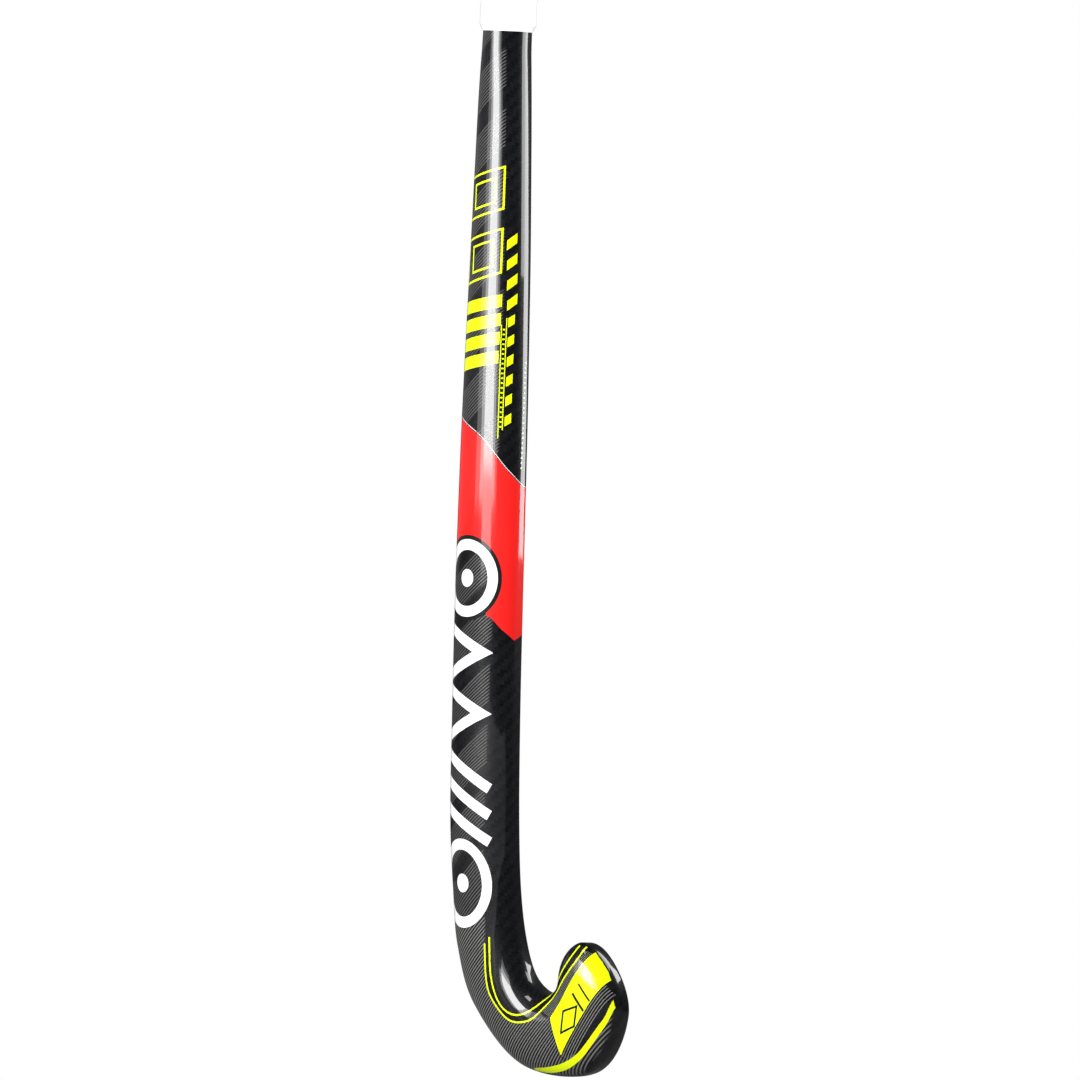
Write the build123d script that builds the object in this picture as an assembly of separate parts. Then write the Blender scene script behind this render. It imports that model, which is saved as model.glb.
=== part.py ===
"""Field hockey stick: a hollow laminate stick with twin core tubes, a filled head and a wrapped grip.

Heights are measured up the handle axis from the lowest point of the head. The finished pieces are
moved down at the end, so that the frame's origin lies on the handle axis at the middle of the grip.
+Z runs up the handle, the toe points to +X, and the flat playing face looks along +Y.
"""

from build123d import *
from math import copysign, cos, floor, pi, sin, sqrt
import os

# Overall sizes, in millimetres
STICK_LENGTH = 927.0            # a 36.5 inch stick
GRIP_BOTTOM = 621.0             # lower edge of the finishing tape
HANDLE_RADIUS = 14.7            # bare laminate handle
GRIP_RADIUS = 17.0              # over the cushioned grip

# Bow of the shaft and the flat of the head
BOW_START = 476.0               # below this height the stick bows forward
BOW_DEPTH = 21.6                # offset that the bow would reach at height 0
BOW_POWER = 2.6
FLAT_HEAD_TOP = 66.0            # below this height the face is one plane

# Cross-sections
BACK_POWER = 2.2                # superellipse power of the shaft's rounded back, 2 being an ellipse
SIDE_STEPS = 20
TOE_DOME = 0.97                 # how much of the last head span the rounded toe end takes
DOME_DEPTH_LEFT = 0.35          # share of the thickness that is left at the very toe

# Walls and inner pieces
SHELL_WALL = 2.6
TUBE_WALL = 1.3
WEB_THICKNESS = 1.5
GLUE_GAP = 0.1
FACE_PLY_THICKNESS = 1.5
HEAD_CORE_TOP = 108.0
TUBE_TOP = 885.0

# Butt end and grip
CAP_FLANGE = 3.0
CAP_RADIUS = 16.6
SPIGOT_RADIUS = 6.0
SPIGOT_DEPTH = 14.0
TAPE_THICKNESS = 0.2            # finishing tape and the grip's adhesive base
TAPE_BAND = 22.0                # width of the finishing tape
TAPE_CLIMB = 4.0                # height over which the finishing tape climbs onto the grip
TAPE_CLEARANCE = 0.06
GRIP_SQUEEZE = 0.3              # how far the finishing tape presses the cushion in
SQUEEZE_MARGIN = 1.0            # height of pressed cushion that shows above the finishing tape

# Shaft stations from the butt down: height, half-width, front depth, back depth, front power
HANDLE_HEIGHTS = (960.0, 880.0, 800.0, 730.0, 670.0, 618.0)
SHAFT_STATIONS = [(height, *[HANDLE_RADIUS] * 3, 2.0) for height in HANDLE_HEIGHTS] + [
    (598.0, 15.5, 14.3, 14.7, 2.1),
    (576.0, 16.4, 13.6, 14.7, 2.3),
    (526.0, 18.0, 12.0, 15.1, 2.8),
    (476.0, 19.5, 10.6, 15.4, 3.4),
    (396.0, 21.5, 8.8, 15.7, 4.2),
    (336.0, 22.3, 8.1, 15.5, 4.8),
    (276.0, 22.7, 7.8, 15.2, 5.2),
    (210.0, 22.8, 7.6, 15.2, 5.5),
    (150.0, 23.1, 7.5, 15.3, 5.8),
]

# Head stations towards the toe: inner edge (x, height), outer edge (x, height), back depth
HEAD_STATIONS = [
    ((24.6, 110.0), (-20.5, 107.5), 15.4),
    ((28.6, 81.5), (-17.2, 73.2), 15.4),
    ((35.4, 61.0), (-4.2, 38.0), 15.4),
    ((45.5, 51.2), (32.5, 4.4), 15.3),
    ((55.5, 50.0), (84.6, 3.9), 15.1),
    ((60.5, 58.5), (107.6, 37.7), 14.6),
    ((58.0, 79.0), (101.0, 82.9), 13.9),
]
HEAD_FRONT_DEPTH = 7.5
HEAD_FRONT_POWER = 6.0
SHAFT_CUTS = 3                  # ruled spans from one shaft station to the next
HEAD_CUTS = 4
DOME_STEPS = (0.25, 0.5, 0.7, 0.84, 0.93, 0.98)
DOME_CUTOFF = 0.15              # an inset form ends where the dome closes to this share per mm

# Each station as one row: inner x and height, outer x and height, front and back depth and power
STATIONS = [
    (half, height, -half, height, front, back, power, min(power, BACK_POWER))
    for height, half, front, back, power in SHAFT_STATIONS
] + [
    (*inner, *outer, HEAD_FRONT_DEPTH, back, HEAD_FRONT_POWER, BACK_POWER)
    for inner, outer, back in HEAD_STATIONS
]
LAST_SPAN = len(STATIONS) - 2
HEAD_SPAN = len(SHAFT_STATIONS) - 1
SHAFT_END = HEAD_SPAN + 2       # the inner tubes end above this place
TOE_TIP = LAST_SPAN + 1

CAP_BOTTOM = STICK_LENGTH - CAP_FLANGE
GRIP_TOP = CAP_BOTTOM - GLUE_GAP
ORIGIN_HEIGHT = (GRIP_BOTTOM + GRIP_TOP) / 2
BIG = 1000.0                    # larger than the stick, for cutting blocks


def bow(height):
    """Forward offset of the stick at a height: a power curve, then straight through the head."""
    if height >= BOW_START:
        return 0.0
    curve_height = max(height, FLAT_HEAD_TOP)
    drop = (BOW_START - curve_height) / BOW_START
    offset = BOW_DEPTH * drop ** BOW_POWER
    slope = BOW_DEPTH * BOW_POWER / BOW_START * drop ** (BOW_POWER - 1)
    return offset + slope * (curve_height - height)


def blend(before, start, end, after, share):
    """Catmull-Rom value between start and end, at a share of the way."""
    linear = (end - before) / 2
    square = before - 2.5 * start + 2 * end - after / 2
    cube = (after - before) / 2 + 1.5 * (start - end)
    return start + share * (linear + share * (square + share * cube))


def station_at(place):
    """Station values at a place along the stick, where 0 is the first station and 1 the second."""
    span = min(floor(place), LAST_SPAN)
    share = place - span
    start = STATIONS[span]
    end = STATIONS[span + 1]
    before = STATIONS[span - 1] if span > 0 else [2 * s - e for s, e in zip(start, end)]
    after = STATIONS[span + 2] if span < LAST_SPAN else [2 * e - s for s, e in zip(start, end)]
    return [blend(b, s, e, a, share) for b, s, e, a in zip(before, start, end, after)]


def toe_shrink(place):
    """How far the section has closed at a place: 1 up to the toe's dome, 0 at its tip."""
    into_dome = place - (LAST_SPAN + 1 - TOE_DOME)
    if into_dome <= 0:
        return 1.0
    return sqrt(max(0.0, 1 - (into_dome / TOE_DOME) ** 2))


def side_edge(values, half_width, front, back, side):
    """Edge round one side of the stick: 1 is the inner side, from face to back, and -1 the outer."""
    inner_x, inner_height, outer_x, outer_height, front_depth, _, front_power, back_power = values
    width = sqrt((outer_x - inner_x) ** 2 + (outer_height - inner_height) ** 2)
    along_x = (inner_x - outer_x) / width
    along_height = (inner_height - outer_height) / width
    points = []
    for step in range(SIDE_STEPS + 1):
        turn = side * pi / 2 - pi * step / SIDE_STEPS
        reach = round(cos(turn), 12)
        rise = round(sin(turn), 12)
        exponent = 2 / (front_power if rise > 0 else back_power)
        across = copysign(abs(reach) ** exponent, reach) * half_width
        lift = copysign(abs(rise) ** exponent, rise) * (front if rise > 0 else back)
        x = (inner_x + outer_x) / 2 + along_x * across
        height = (inner_height + outer_height) / 2 + along_height * across
        points.append((x, HANDLE_RADIUS - front_depth + lift + bow(height), height))
    return Edge.make_spline(points)


def section(place, inset):
    """Closed wire around the stick at a place, pulled in by inset from the outer surface."""
    values = station_at(place)
    inner_x, inner_height, outer_x, outer_height, front, back = values[:6]
    shrink = toe_shrink(place)
    width = sqrt((outer_x - inner_x) ** 2 + (outer_height - inner_height) ** 2)
    half_width = width / 2 * shrink - inset
    depth_share = DOME_DEPTH_LEFT + (1 - DOME_DEPTH_LEFT) * shrink
    front_left = front * depth_share - inset
    back_left = back * depth_share - inset
    return Wire([side_edge(values, half_width, front_left, back_left, side) for side in (1, -1)])


def spread(first, last, steps):
    """Evenly spaced places from first to last, both included."""
    return [first + (last - first) * step / steps for step in range(steps + 1)]


def form_between(first, last, inset):
    """Solid of the stick between two places, made of short ruled spans."""
    dome_start = LAST_SPAN + 1 - TOE_DOME
    places = spread(0, HEAD_SPAN, HEAD_SPAN * SHAFT_CUTS)[:-1]
    places += spread(HEAD_SPAN, dome_start, round((dome_start - HEAD_SPAN) * HEAD_CUTS))
    places += [dome_start + TOE_DOME * step for step in DOME_STEPS]
    kept = [place for place in places if first <= place <= last]
    kept = [place for place in kept if toe_shrink(place) > DOME_CUTOFF * inset]
    return Solid.make_loft([section(place, inset) for place in kept], ruled=True)


def slab(low, high):
    """Wide block between two heights."""
    return Pos(0, 0, (low + high) / 2) * Box(BIG, BIG, high - low)


def tube(outer_radius, inner_radius, low, high):
    """Round tube or, with no inner radius, rod on the handle axis between two heights."""
    ring = Circle(outer_radius)
    if inner_radius > 0:
        ring -= Circle(inner_radius)
    return Pos(0, 0, low) * extrude(ring, high - low)


def make_stick_shell():
    """The laminate skin: closed round the head, open at the butt."""
    outside = form_between(0, TOE_TIP, 0) & slab(-BIG, CAP_BOTTOM - GLUE_GAP)
    return outside - form_between(0, TOE_TIP, SHELL_WALL)


def shaft_space(inset, low):
    """Space inside the handle and shaft, above a height."""
    return form_between(0, SHAFT_END, inset) & slab(low, TUBE_TOP)


def make_core_tubes():
    """The two inner tubes, side by side, each filling its half of the shell."""
    outside = shaft_space(SHELL_WALL + GLUE_GAP, HEAD_CORE_TOP + GLUE_GAP)
    inside = shaft_space(SHELL_WALL + GLUE_GAP + TUBE_WALL, HEAD_CORE_TOP)
    edge = WEB_THICKNESS / 2 + GLUE_GAP
    tubes = []
    for side in (1, -1):
        hull = outside & Pos(side * (edge + BIG / 2), 0, 0) * Box(BIG, BIG, 3 * BIG)
        bore = inside & Pos(side * (edge + TUBE_WALL + BIG / 2), 0, 0) * Box(BIG, BIG, 3 * BIG)
        tubes.append(hull - bore)
    return tubes


def make_centre_web():
    """The rib from face to back where the two tubes meet."""
    rib_box = Box(WEB_THICKNESS, BIG, 3 * BIG)
    return shaft_space(SHELL_WALL + GLUE_GAP, HEAD_CORE_TOP + GLUE_GAP) & rib_box


def face_plane(depth):
    """Plane at a depth behind the flat face of the head."""
    slope = bow(0) - bow(1)
    return Plane(
        origin=(0, HANDLE_RADIUS + bow(0) - depth, 0),
        x_dir=(1, 0, 0),
        z_dir=(0, 1, slope),
    )


def half_space(depth):
    """Everything in front of the plane at a depth behind the face."""
    return face_plane(depth) * Pos(0, 0, BIG / 2) * Box(2 * BIG, 2 * BIG, BIG)


def make_head_pieces():
    """The head's filling, and the flat pad between it and the face."""
    filling = form_between(HEAD_SPAN, TOE_TIP, SHELL_WALL + GLUE_GAP) & slab(-BIG, HEAD_CORE_TOP)
    pad_back = SHELL_WALL + GLUE_GAP + FACE_PLY_THICKNESS
    pad = filling & half_space(pad_back) & slab(-BIG, FLAT_HEAD_TOP)
    pocket = half_space(pad_back + GLUE_GAP) & slab(-BIG, FLAT_HEAD_TOP + GLUE_GAP)
    return filling - pocket, pad


def make_handle_plug():
    """Foam plug in the butt end, with the hole for the cap's spigot."""
    radius = HANDLE_RADIUS - SHELL_WALL - GLUE_GAP
    low = TUBE_TOP + GLUE_GAP
    high = CAP_BOTTOM - GLUE_GAP
    plug = Pos(0, 0, low) * extrude(Circle(radius), high - low)
    hole = Pos(0, 0, high) * extrude(Circle(SPIGOT_RADIUS + GLUE_GAP), -SPIGOT_DEPTH - GLUE_GAP)
    return plug - hole


def make_butt_cap():
    """The cap: a flat flange over the butt, and a spigot down into the plug."""
    flange = Pos(0, 0, CAP_BOTTOM) * extrude(Circle(CAP_RADIUS), CAP_FLANGE)
    flange = fillet(flange.edges().group_by(Axis.Z)[-1], 1.0)
    spigot = Pos(0, 0, CAP_BOTTOM) * extrude(Circle(SPIGOT_RADIUS), -SPIGOT_DEPTH)
    return flange + spigot


def make_finishing_tape():
    """The band that climbs from the bare shaft onto the grip and holds the grip's lower end."""
    shaft_radius = HANDLE_RADIUS + TAPE_CLEARANCE
    over_grip = GRIP_RADIUS - GRIP_SQUEEZE + TAPE_CLEARANCE
    climb_end = GRIP_BOTTOM + TAPE_CLIMB
    top = GRIP_BOTTOM + TAPE_BAND
    profile = Polyline(
        (shaft_radius, 0, GRIP_BOTTOM),
        (shaft_radius + TAPE_THICKNESS, 0, GRIP_BOTTOM),
        (over_grip + TAPE_THICKNESS, 0, climb_end),
        (over_grip + TAPE_THICKNESS, 0, top),
        (over_grip, 0, top),
        (over_grip, 0, climb_end + TAPE_THICKNESS),
        close=True,
    )
    return revolve(make_face(profile), Axis.Z)


def make_grip_layers():
    """The adhesive base round the handle, and the cushion on it, pressed in at its lower end."""
    low = GRIP_BOTTOM + TAPE_CLIMB + 2 * TAPE_THICKNESS
    pressed_top = GRIP_BOTTOM + TAPE_BAND + SQUEEZE_MARGIN
    base_inside = HANDLE_RADIUS + TAPE_CLEARANCE
    base_outside = base_inside + TAPE_THICKNESS
    cushion_inside = base_outside + TAPE_CLEARANCE
    base = tube(base_outside, base_inside, low, GRIP_TOP)
    pressed = tube(GRIP_RADIUS - GRIP_SQUEEZE, cushion_inside, low, pressed_top)
    cushion = tube(GRIP_RADIUS, cushion_inside, pressed_top, GRIP_TOP)
    return base, pressed + cushion


def make_parts():
    """Every piece by name, still measured up from the head's lowest point."""
    grip_base, grip_cushion = make_grip_layers()
    toe_side_tube, heel_side_tube = make_core_tubes()
    head_core, face_ply = make_head_pieces()
    return {
        "stick_shell": make_stick_shell(),
        "core_tube_toe_side": toe_side_tube,
        "core_tube_heel_side": heel_side_tube,
        "centre_web": make_centre_web(),
        "head_core": head_core,
        "face_ply": face_ply,
        "handle_plug": make_handle_plug(),
        "butt_cap": make_butt_cap(),
        "grip_base_tape": grip_base,
        "grip_tape": grip_cushion,
        "finishing_tape": make_finishing_tape(),
    }


os.makedirs("parts", exist_ok=True)
for name, piece in make_parts().items():
    export_step(Pos(0, 0, -ORIGIN_HEIGHT) * piece, f"parts/{name}.step")
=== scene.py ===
"""Looks of a field hockey stick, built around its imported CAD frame.

The stick's skin is a fine mesh of the same form as the CAD shell. Printed films are drawn flat and
wrapped or pressed onto it by Geometry Nodes. The grip is a cushion tape wound on the handle.
"""

import logging
import math
from dataclasses import dataclass
from enum import Enum
from typing import Callable, Optional, Sequence

import bmesh
import bpy
import numpy as np
from mathutils import Matrix, Vector


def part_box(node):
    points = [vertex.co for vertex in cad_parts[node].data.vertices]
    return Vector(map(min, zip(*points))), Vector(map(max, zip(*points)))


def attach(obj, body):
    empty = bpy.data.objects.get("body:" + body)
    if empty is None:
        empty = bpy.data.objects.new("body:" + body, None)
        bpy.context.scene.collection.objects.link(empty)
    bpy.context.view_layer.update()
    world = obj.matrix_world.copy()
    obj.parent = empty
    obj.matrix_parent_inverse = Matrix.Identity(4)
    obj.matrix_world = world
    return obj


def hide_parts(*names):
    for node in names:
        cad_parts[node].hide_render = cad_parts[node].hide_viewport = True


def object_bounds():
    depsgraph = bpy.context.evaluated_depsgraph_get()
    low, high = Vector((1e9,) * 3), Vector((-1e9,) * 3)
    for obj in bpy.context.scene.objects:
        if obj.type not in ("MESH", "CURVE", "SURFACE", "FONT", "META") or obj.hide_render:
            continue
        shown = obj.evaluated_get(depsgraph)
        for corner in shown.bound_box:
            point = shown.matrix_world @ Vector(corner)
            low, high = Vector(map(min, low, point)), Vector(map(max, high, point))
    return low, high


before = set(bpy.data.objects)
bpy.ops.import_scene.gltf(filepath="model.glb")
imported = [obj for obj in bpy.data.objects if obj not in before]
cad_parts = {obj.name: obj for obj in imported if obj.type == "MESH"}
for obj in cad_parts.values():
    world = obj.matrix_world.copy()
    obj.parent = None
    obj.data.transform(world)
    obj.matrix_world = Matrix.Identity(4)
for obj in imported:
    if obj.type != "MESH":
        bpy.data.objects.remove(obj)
CAD_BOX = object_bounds()

LOG = logging.getLogger("hockey_stick")
MM = 0.001
BODY = "root"
WRAP_MAP = "WrapMap"
WIND_MAP = "WindMap"
PRINTED_SHARE = "pinstriped"

Point = tuple[float, float]
Colour = tuple[float, float, float]


# --------------------------------------------------------------------------- form of the stick


@dataclass(frozen=True)
class StickForm:
    """The stick's outer form, in millimetres up from the datum under the head.

    A station is (inner x, inner height, outer x, outer height, front depth, back depth,
    front power, back power), and a place counts stations from the butt towards the toe.
    """

    length: float = 927.0
    handle_radius: float = 14.7
    bow_start: float = 476.0
    bow_depth: float = 21.6
    bow_power: float = 2.6
    flat_head_top: float = 66.0
    back_power: float = 2.2
    toe_dome: float = 0.97
    dome_depth_left: float = 0.35
    handle_heights: tuple[float, ...] = (960.0, 880.0, 800.0, 730.0, 670.0, 618.0)
    shaft: tuple[tuple[float, ...], ...] = (
        (598.0, 15.5, 14.3, 14.7, 2.1),
        (576.0, 16.4, 13.6, 14.7, 2.3),
        (526.0, 18.0, 12.0, 15.1, 2.8),
        (476.0, 19.5, 10.6, 15.4, 3.4),
        (396.0, 21.5, 8.8, 15.7, 4.2),
        (336.0, 22.3, 8.1, 15.5, 4.8),
        (276.0, 22.7, 7.8, 15.2, 5.2),
        (210.0, 22.8, 7.6, 15.2, 5.5),
        (150.0, 23.1, 7.5, 15.3, 5.8),
    )
    head: tuple[tuple[Point, Point, float], ...] = (
        ((24.6, 110.0), (-20.5, 107.5), 15.4),
        ((28.6, 81.5), (-17.2, 73.2), 15.4),
        ((35.4, 61.0), (-4.2, 38.0), 15.4),
        ((45.5, 51.2), (32.5, 4.4), 15.3),
        ((55.5, 50.0), (84.6, 3.9), 15.1),
        ((60.5, 58.5), (107.6, 37.7), 14.6),
        ((58.0, 79.0), (101.0, 82.9), 13.9),
    )
    head_front_depth: float = 7.5
    head_front_power: float = 6.0

    def stations(self) -> np.ndarray:
        """List the stations from the butt to the toe.

        Returns:
            An array with one row for each station.
        """
        radius = self.handle_radius
        rows = [(radius, h, -radius, h, radius, radius, 2.0, 2.0) for h in self.handle_heights]
        for height, half, front, back, power in self.shaft:
            rows.append((half, height, -half, height, front, back, power, min(power, self.back_power)))
        for inner, outer, back in self.head:
            rows.append(
                (*inner, *outer, self.head_front_depth, back, self.head_front_power, self.back_power)
            )
        return np.array(rows)

    def bow(self, height: np.ndarray) -> np.ndarray:
        """Return the forward offset at each height.

        Args:
            height: heights in millimetres.

        Returns:
            The offset in millimetres: a power curve that runs straight through the head.
        """
        held = np.clip(height, self.flat_head_top, self.bow_start)
        drop = (self.bow_start - held) / self.bow_start
        slope = self.bow_depth * self.bow_power / self.bow_start * drop ** (self.bow_power - 1)
        below = np.maximum(held - height, 0.0)
        return self.bow_depth * drop**self.bow_power + slope * below

    def station_at(self, place: float) -> np.ndarray:
        """Blend the stations at a place, as a Catmull-Rom spline.

        Args:
            place: the place along the stick.

        Returns:
            The values of a station at that place.
        """
        rows = self.stations()
        span = min(int(place), len(rows) - 2)
        share = place - span
        start, end = rows[span], rows[span + 1]
        before = rows[span - 1] if span > 0 else 2 * start - end
        after = rows[span + 2] if span < len(rows) - 2 else 2 * end - start
        square = before - 2.5 * start + 2 * end - after / 2
        cube = (after - before) / 2 + 1.5 * (start - end)
        return start + share * ((end - before) / 2 + share * (square + share * cube))

    def toe_shrink(self, place: float) -> float:
        """Find how far the section has closed towards the toe.

        Args:
            place: the place along the stick.

        Returns:
            1 up to the toe's dome, and down to 0 at its tip.
        """
        into_dome = place - (self.tip_place() - self.toe_dome)
        if into_dome <= 0:
            return 1.0
        return math.sqrt(max(0.0, 1 - (into_dome / self.toe_dome) ** 2))

    def tip_place(self) -> float:
        """Find the toe's tip.

        Returns:
            The place of the last station.
        """
        return float(len(self.handle_heights) + len(self.shaft) + len(self.head) - 1)

    def ring(self, place: float, turns: np.ndarray) -> np.ndarray:
        """Return points round the stick at a place.

        Args:
            place: the place along the stick.
            turns: angles, with 0 at the inner side, a quarter turn at the face.

        Returns:
            An array of (x, y, height) rows in millimetres.
        """
        row = self.station_at(place)
        shrink = self.toe_shrink(place)
        depth_share = self.dome_depth_left + (1 - self.dome_depth_left) * shrink
        cosine, sine = np.cos(turns), np.sin(turns)
        power = np.where(sine > 0, row[6], row[7])
        across = np.sign(cosine) * np.abs(cosine) ** (2 / power) * shrink / 2
        depth = np.where(sine > 0, row[4], row[5]) * depth_share
        lift = np.sign(sine) * np.abs(sine) ** (2 / power) * depth
        x = (row[0] + row[2]) / 2 + (row[0] - row[2]) * across
        height = (row[1] + row[3]) / 2 + (row[1] - row[3]) * across
        return np.stack([x, self.handle_radius - row[4] + lift + self.bow(height), height], 1)


FORM = StickForm()
ORIGIN_HEIGHT = FORM.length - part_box("butt_cap")[1].z / MM
GRIP_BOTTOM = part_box("finishing_tape")[0].z / MM + ORIGIN_HEIGHT


def to_frame(points: np.ndarray) -> np.ndarray:
    """Move points from the form's datum into the frame.

    Args:
        points: (x, y, height) rows in millimetres.

    Returns:
        (x, y, z) rows in metres.
    """
    return (points - np.array([0.0, 0.0, ORIGIN_HEIGHT])) * MM


# --------------------------------------------------------------------------- mesh helpers


def new_object(name: str, mesh: bpy.types.Mesh) -> bpy.types.Object:
    """Link a mesh into the scene.

    Args:
        name: the piece's name.
        mesh: its mesh.

    Returns:
        The new object.
    """
    mesh.name = name
    piece = bpy.data.objects.new(name, mesh)
    bpy.context.scene.collection.objects.link(piece)
    return piece


def smooth(piece: bpy.types.Object) -> bpy.types.Object:
    """Shade every face of a piece smooth.

    Args:
        piece: the piece to shade.

    Returns:
        The same piece.
    """
    piece.data.polygons.foreach_set("use_smooth", [True] * len(piece.data.polygons))
    return piece


def ring_mesh(name: str, rings: np.ndarray, close_ends: bool = True) -> bpy.types.Object:
    """Join closed rings into a tube.

    Args:
        name: the piece's name.
        rings: an array of rings by points by 3, in metres, anticlockwise about the way they run.
        close_ends: whether a fan closes each end.

    Returns:
        The new object.
    """
    count, around = rings.shape[:2]
    vertices = rings.reshape(-1, 3).tolist()
    faces = []
    for ring in range(count - 1):
        for step in range(around):
            after = (step + 1) % around
            low, high = ring * around, (ring + 1) * around
            faces.append((low + step, low + after, high + after, high + step))
    if close_ends:
        for ring in (0, count - 1):
            centre = len(vertices)
            vertices.append(rings[ring].mean(axis=0).tolist())
            for step in range(around):
                edge = (ring * around + (step + 1) % around, ring * around + step)
                faces.append((*(edge if ring == 0 else edge[::-1]), centre))
    mesh = bpy.data.meshes.new(name)
    mesh.from_pydata(vertices, [], faces)
    mesh.validate()
    return smooth(new_object(name, mesh))


def face_outward(piece: bpy.types.Object) -> None:
    """Recalculate a closed piece's normals so that they point out.

    Args:
        piece: the closed piece.
    """
    mesh = bmesh.new()
    mesh.from_mesh(piece.data)
    bmesh.ops.recalc_face_normals(mesh, faces=mesh.faces)
    mesh.to_mesh(piece.data)
    mesh.free()


def sharpen(piece: bpy.types.Object, degrees: float) -> None:
    """Mark the edges of a smooth piece sharp where its faces turn by more than an angle.

    Args:
        piece: the piece to mark.
        degrees: the angle.
    """
    mesh = bmesh.new()
    mesh.from_mesh(piece.data)
    for edge in mesh.edges:
        if len(edge.link_faces) == 2 and edge.calc_face_angle(0.0) > math.radians(degrees):
            edge.smooth = False
    mesh.to_mesh(piece.data)
    mesh.free()


# --------------------------------------------------------------------------- node helpers


class NodeTree:
    """A thin wrapper that makes and links nodes in one tree."""

    def __init__(self, tree: bpy.types.NodeTree) -> None:
        """Keep the tree that nodes are added to.

        Args:
            tree: a shader or geometry tree.
        """
        self.tree = tree

    def add(self, kind: str, inputs: Optional[dict] = None, **settings: object) -> bpy.types.Node:
        """Add a node.

        Args:
            kind: the node's bl_idname.
            inputs: values or output sockets by input name or index.
            settings: attributes of the node.

        Returns:
            The new node.
        """
        node = self.tree.nodes.new(kind)
        for name, value in settings.items():
            setattr(node, name, value)
        for key, value in (inputs or {}).items():
            self.feed(node.inputs[key], value)
        return node

    def feed(self, socket: bpy.types.NodeSocket, value: object) -> None:
        """Link an output socket into an input, or set the input's own value.

        Args:
            socket: the input.
            value: an output socket or a plain value.
        """
        if isinstance(value, bpy.types.NodeSocket):
            self.tree.links.new(value, socket)
        else:
            socket.default_value = value

    def math(self, operation: str, *values: object, clamp: bool = False) -> bpy.types.NodeSocket:
        """Add a Math node.

        Args:
            operation: the operation's identifier.
            values: its operands, as sockets or plain values.
            clamp: whether the result is held between 0 and 1.

        Returns:
            The socket with the result.
        """
        node = self.add("ShaderNodeMath", operation=operation, use_clamp=clamp)
        for index, value in enumerate(values):
            self.feed(node.inputs[index], value)
        return node.outputs[0]

    def ramp(self, value: object, low: object, high: object) -> bpy.types.NodeSocket:
        """Map a value smoothly from low..high to 0..1.

        Args:
            value: the value or socket to map.
            low: what becomes 0.
            high: what becomes 1.

        Returns:
            The socket with the result.
        """
        node = self.add(
            "ShaderNodeMapRange", {"Value": value, "From Min": low, "From Max": high},
            interpolation_type="SMOOTHSTEP",
        )
        return node.outputs["Result"]

    def mix(self, share: object, first: object, second: object) -> bpy.types.NodeSocket:
        """Mix two colours.

        Args:
            share: how much of the second colour there is.
            first: the first colour or socket.
            second: the second colour or socket.

        Returns:
            The socket with the mixed colour.
        """
        node = self.add("ShaderNodeMix", data_type="RGBA")
        self.feed(node.inputs[0], share)
        self.feed(node.inputs[6], first)
        self.feed(node.inputs[7], second)
        return node.outputs[2]


@dataclass(frozen=True)
class SocketPlan:
    """One named socket of a node group."""

    name: str
    kind: str
    default: object = None
    is_output: bool = False


def make_group(
    name: str, tree_type: str, plans: Sequence[SocketPlan]
) -> tuple[NodeTree, bpy.types.Node, bpy.types.Node]:
    """Make a node group with named sockets.

    Args:
        name: the group's name.
        tree_type: "ShaderNodeTree" or "GeometryNodeTree".
        plans: its sockets.

    Returns:
        The wrapped tree, its input node and its output node.
    """
    tree = bpy.data.node_groups.new(name, tree_type)
    for plan in plans:
        way = "OUTPUT" if plan.is_output else "INPUT"
        socket = tree.interface.new_socket(plan.name, in_out=way, socket_type=plan.kind)
        if plan.default is not None:
            socket.default_value = plan.default
    nodes = NodeTree(tree)
    return nodes, nodes.add("NodeGroupInput"), nodes.add("NodeGroupOutput")


def run_nodes(piece: bpy.types.Object, tree: bpy.types.NodeTree, values: dict[str, object]) -> None:
    """Apply a Geometry Nodes tree to a piece and leave it a plain mesh.

    Args:
        piece: the object whose mesh is remade.
        tree: the tree to run.
        values: its inputs by name.
    """
    modifier = piece.modifiers.new("make", "NODES")
    modifier.node_group = tree
    for item in tree.interface.items_tree:
        if item.in_out == "INPUT" and item.name in values:
            modifier[item.identifier] = values[item.name]
    graph = bpy.context.evaluated_depsgraph_get()
    made = bpy.data.meshes.new_from_object(piece.evaluated_get(graph), depsgraph=graph)
    piece.modifiers.remove(modifier)
    old = piece.data
    piece.data = made
    made.name = piece.name
    bpy.data.meshes.remove(old)


# --------------------------------------------------------------------------- shader groups


FLOAT, VECTOR = "NodeSocketFloat", "NodeSocketVector"


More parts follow.
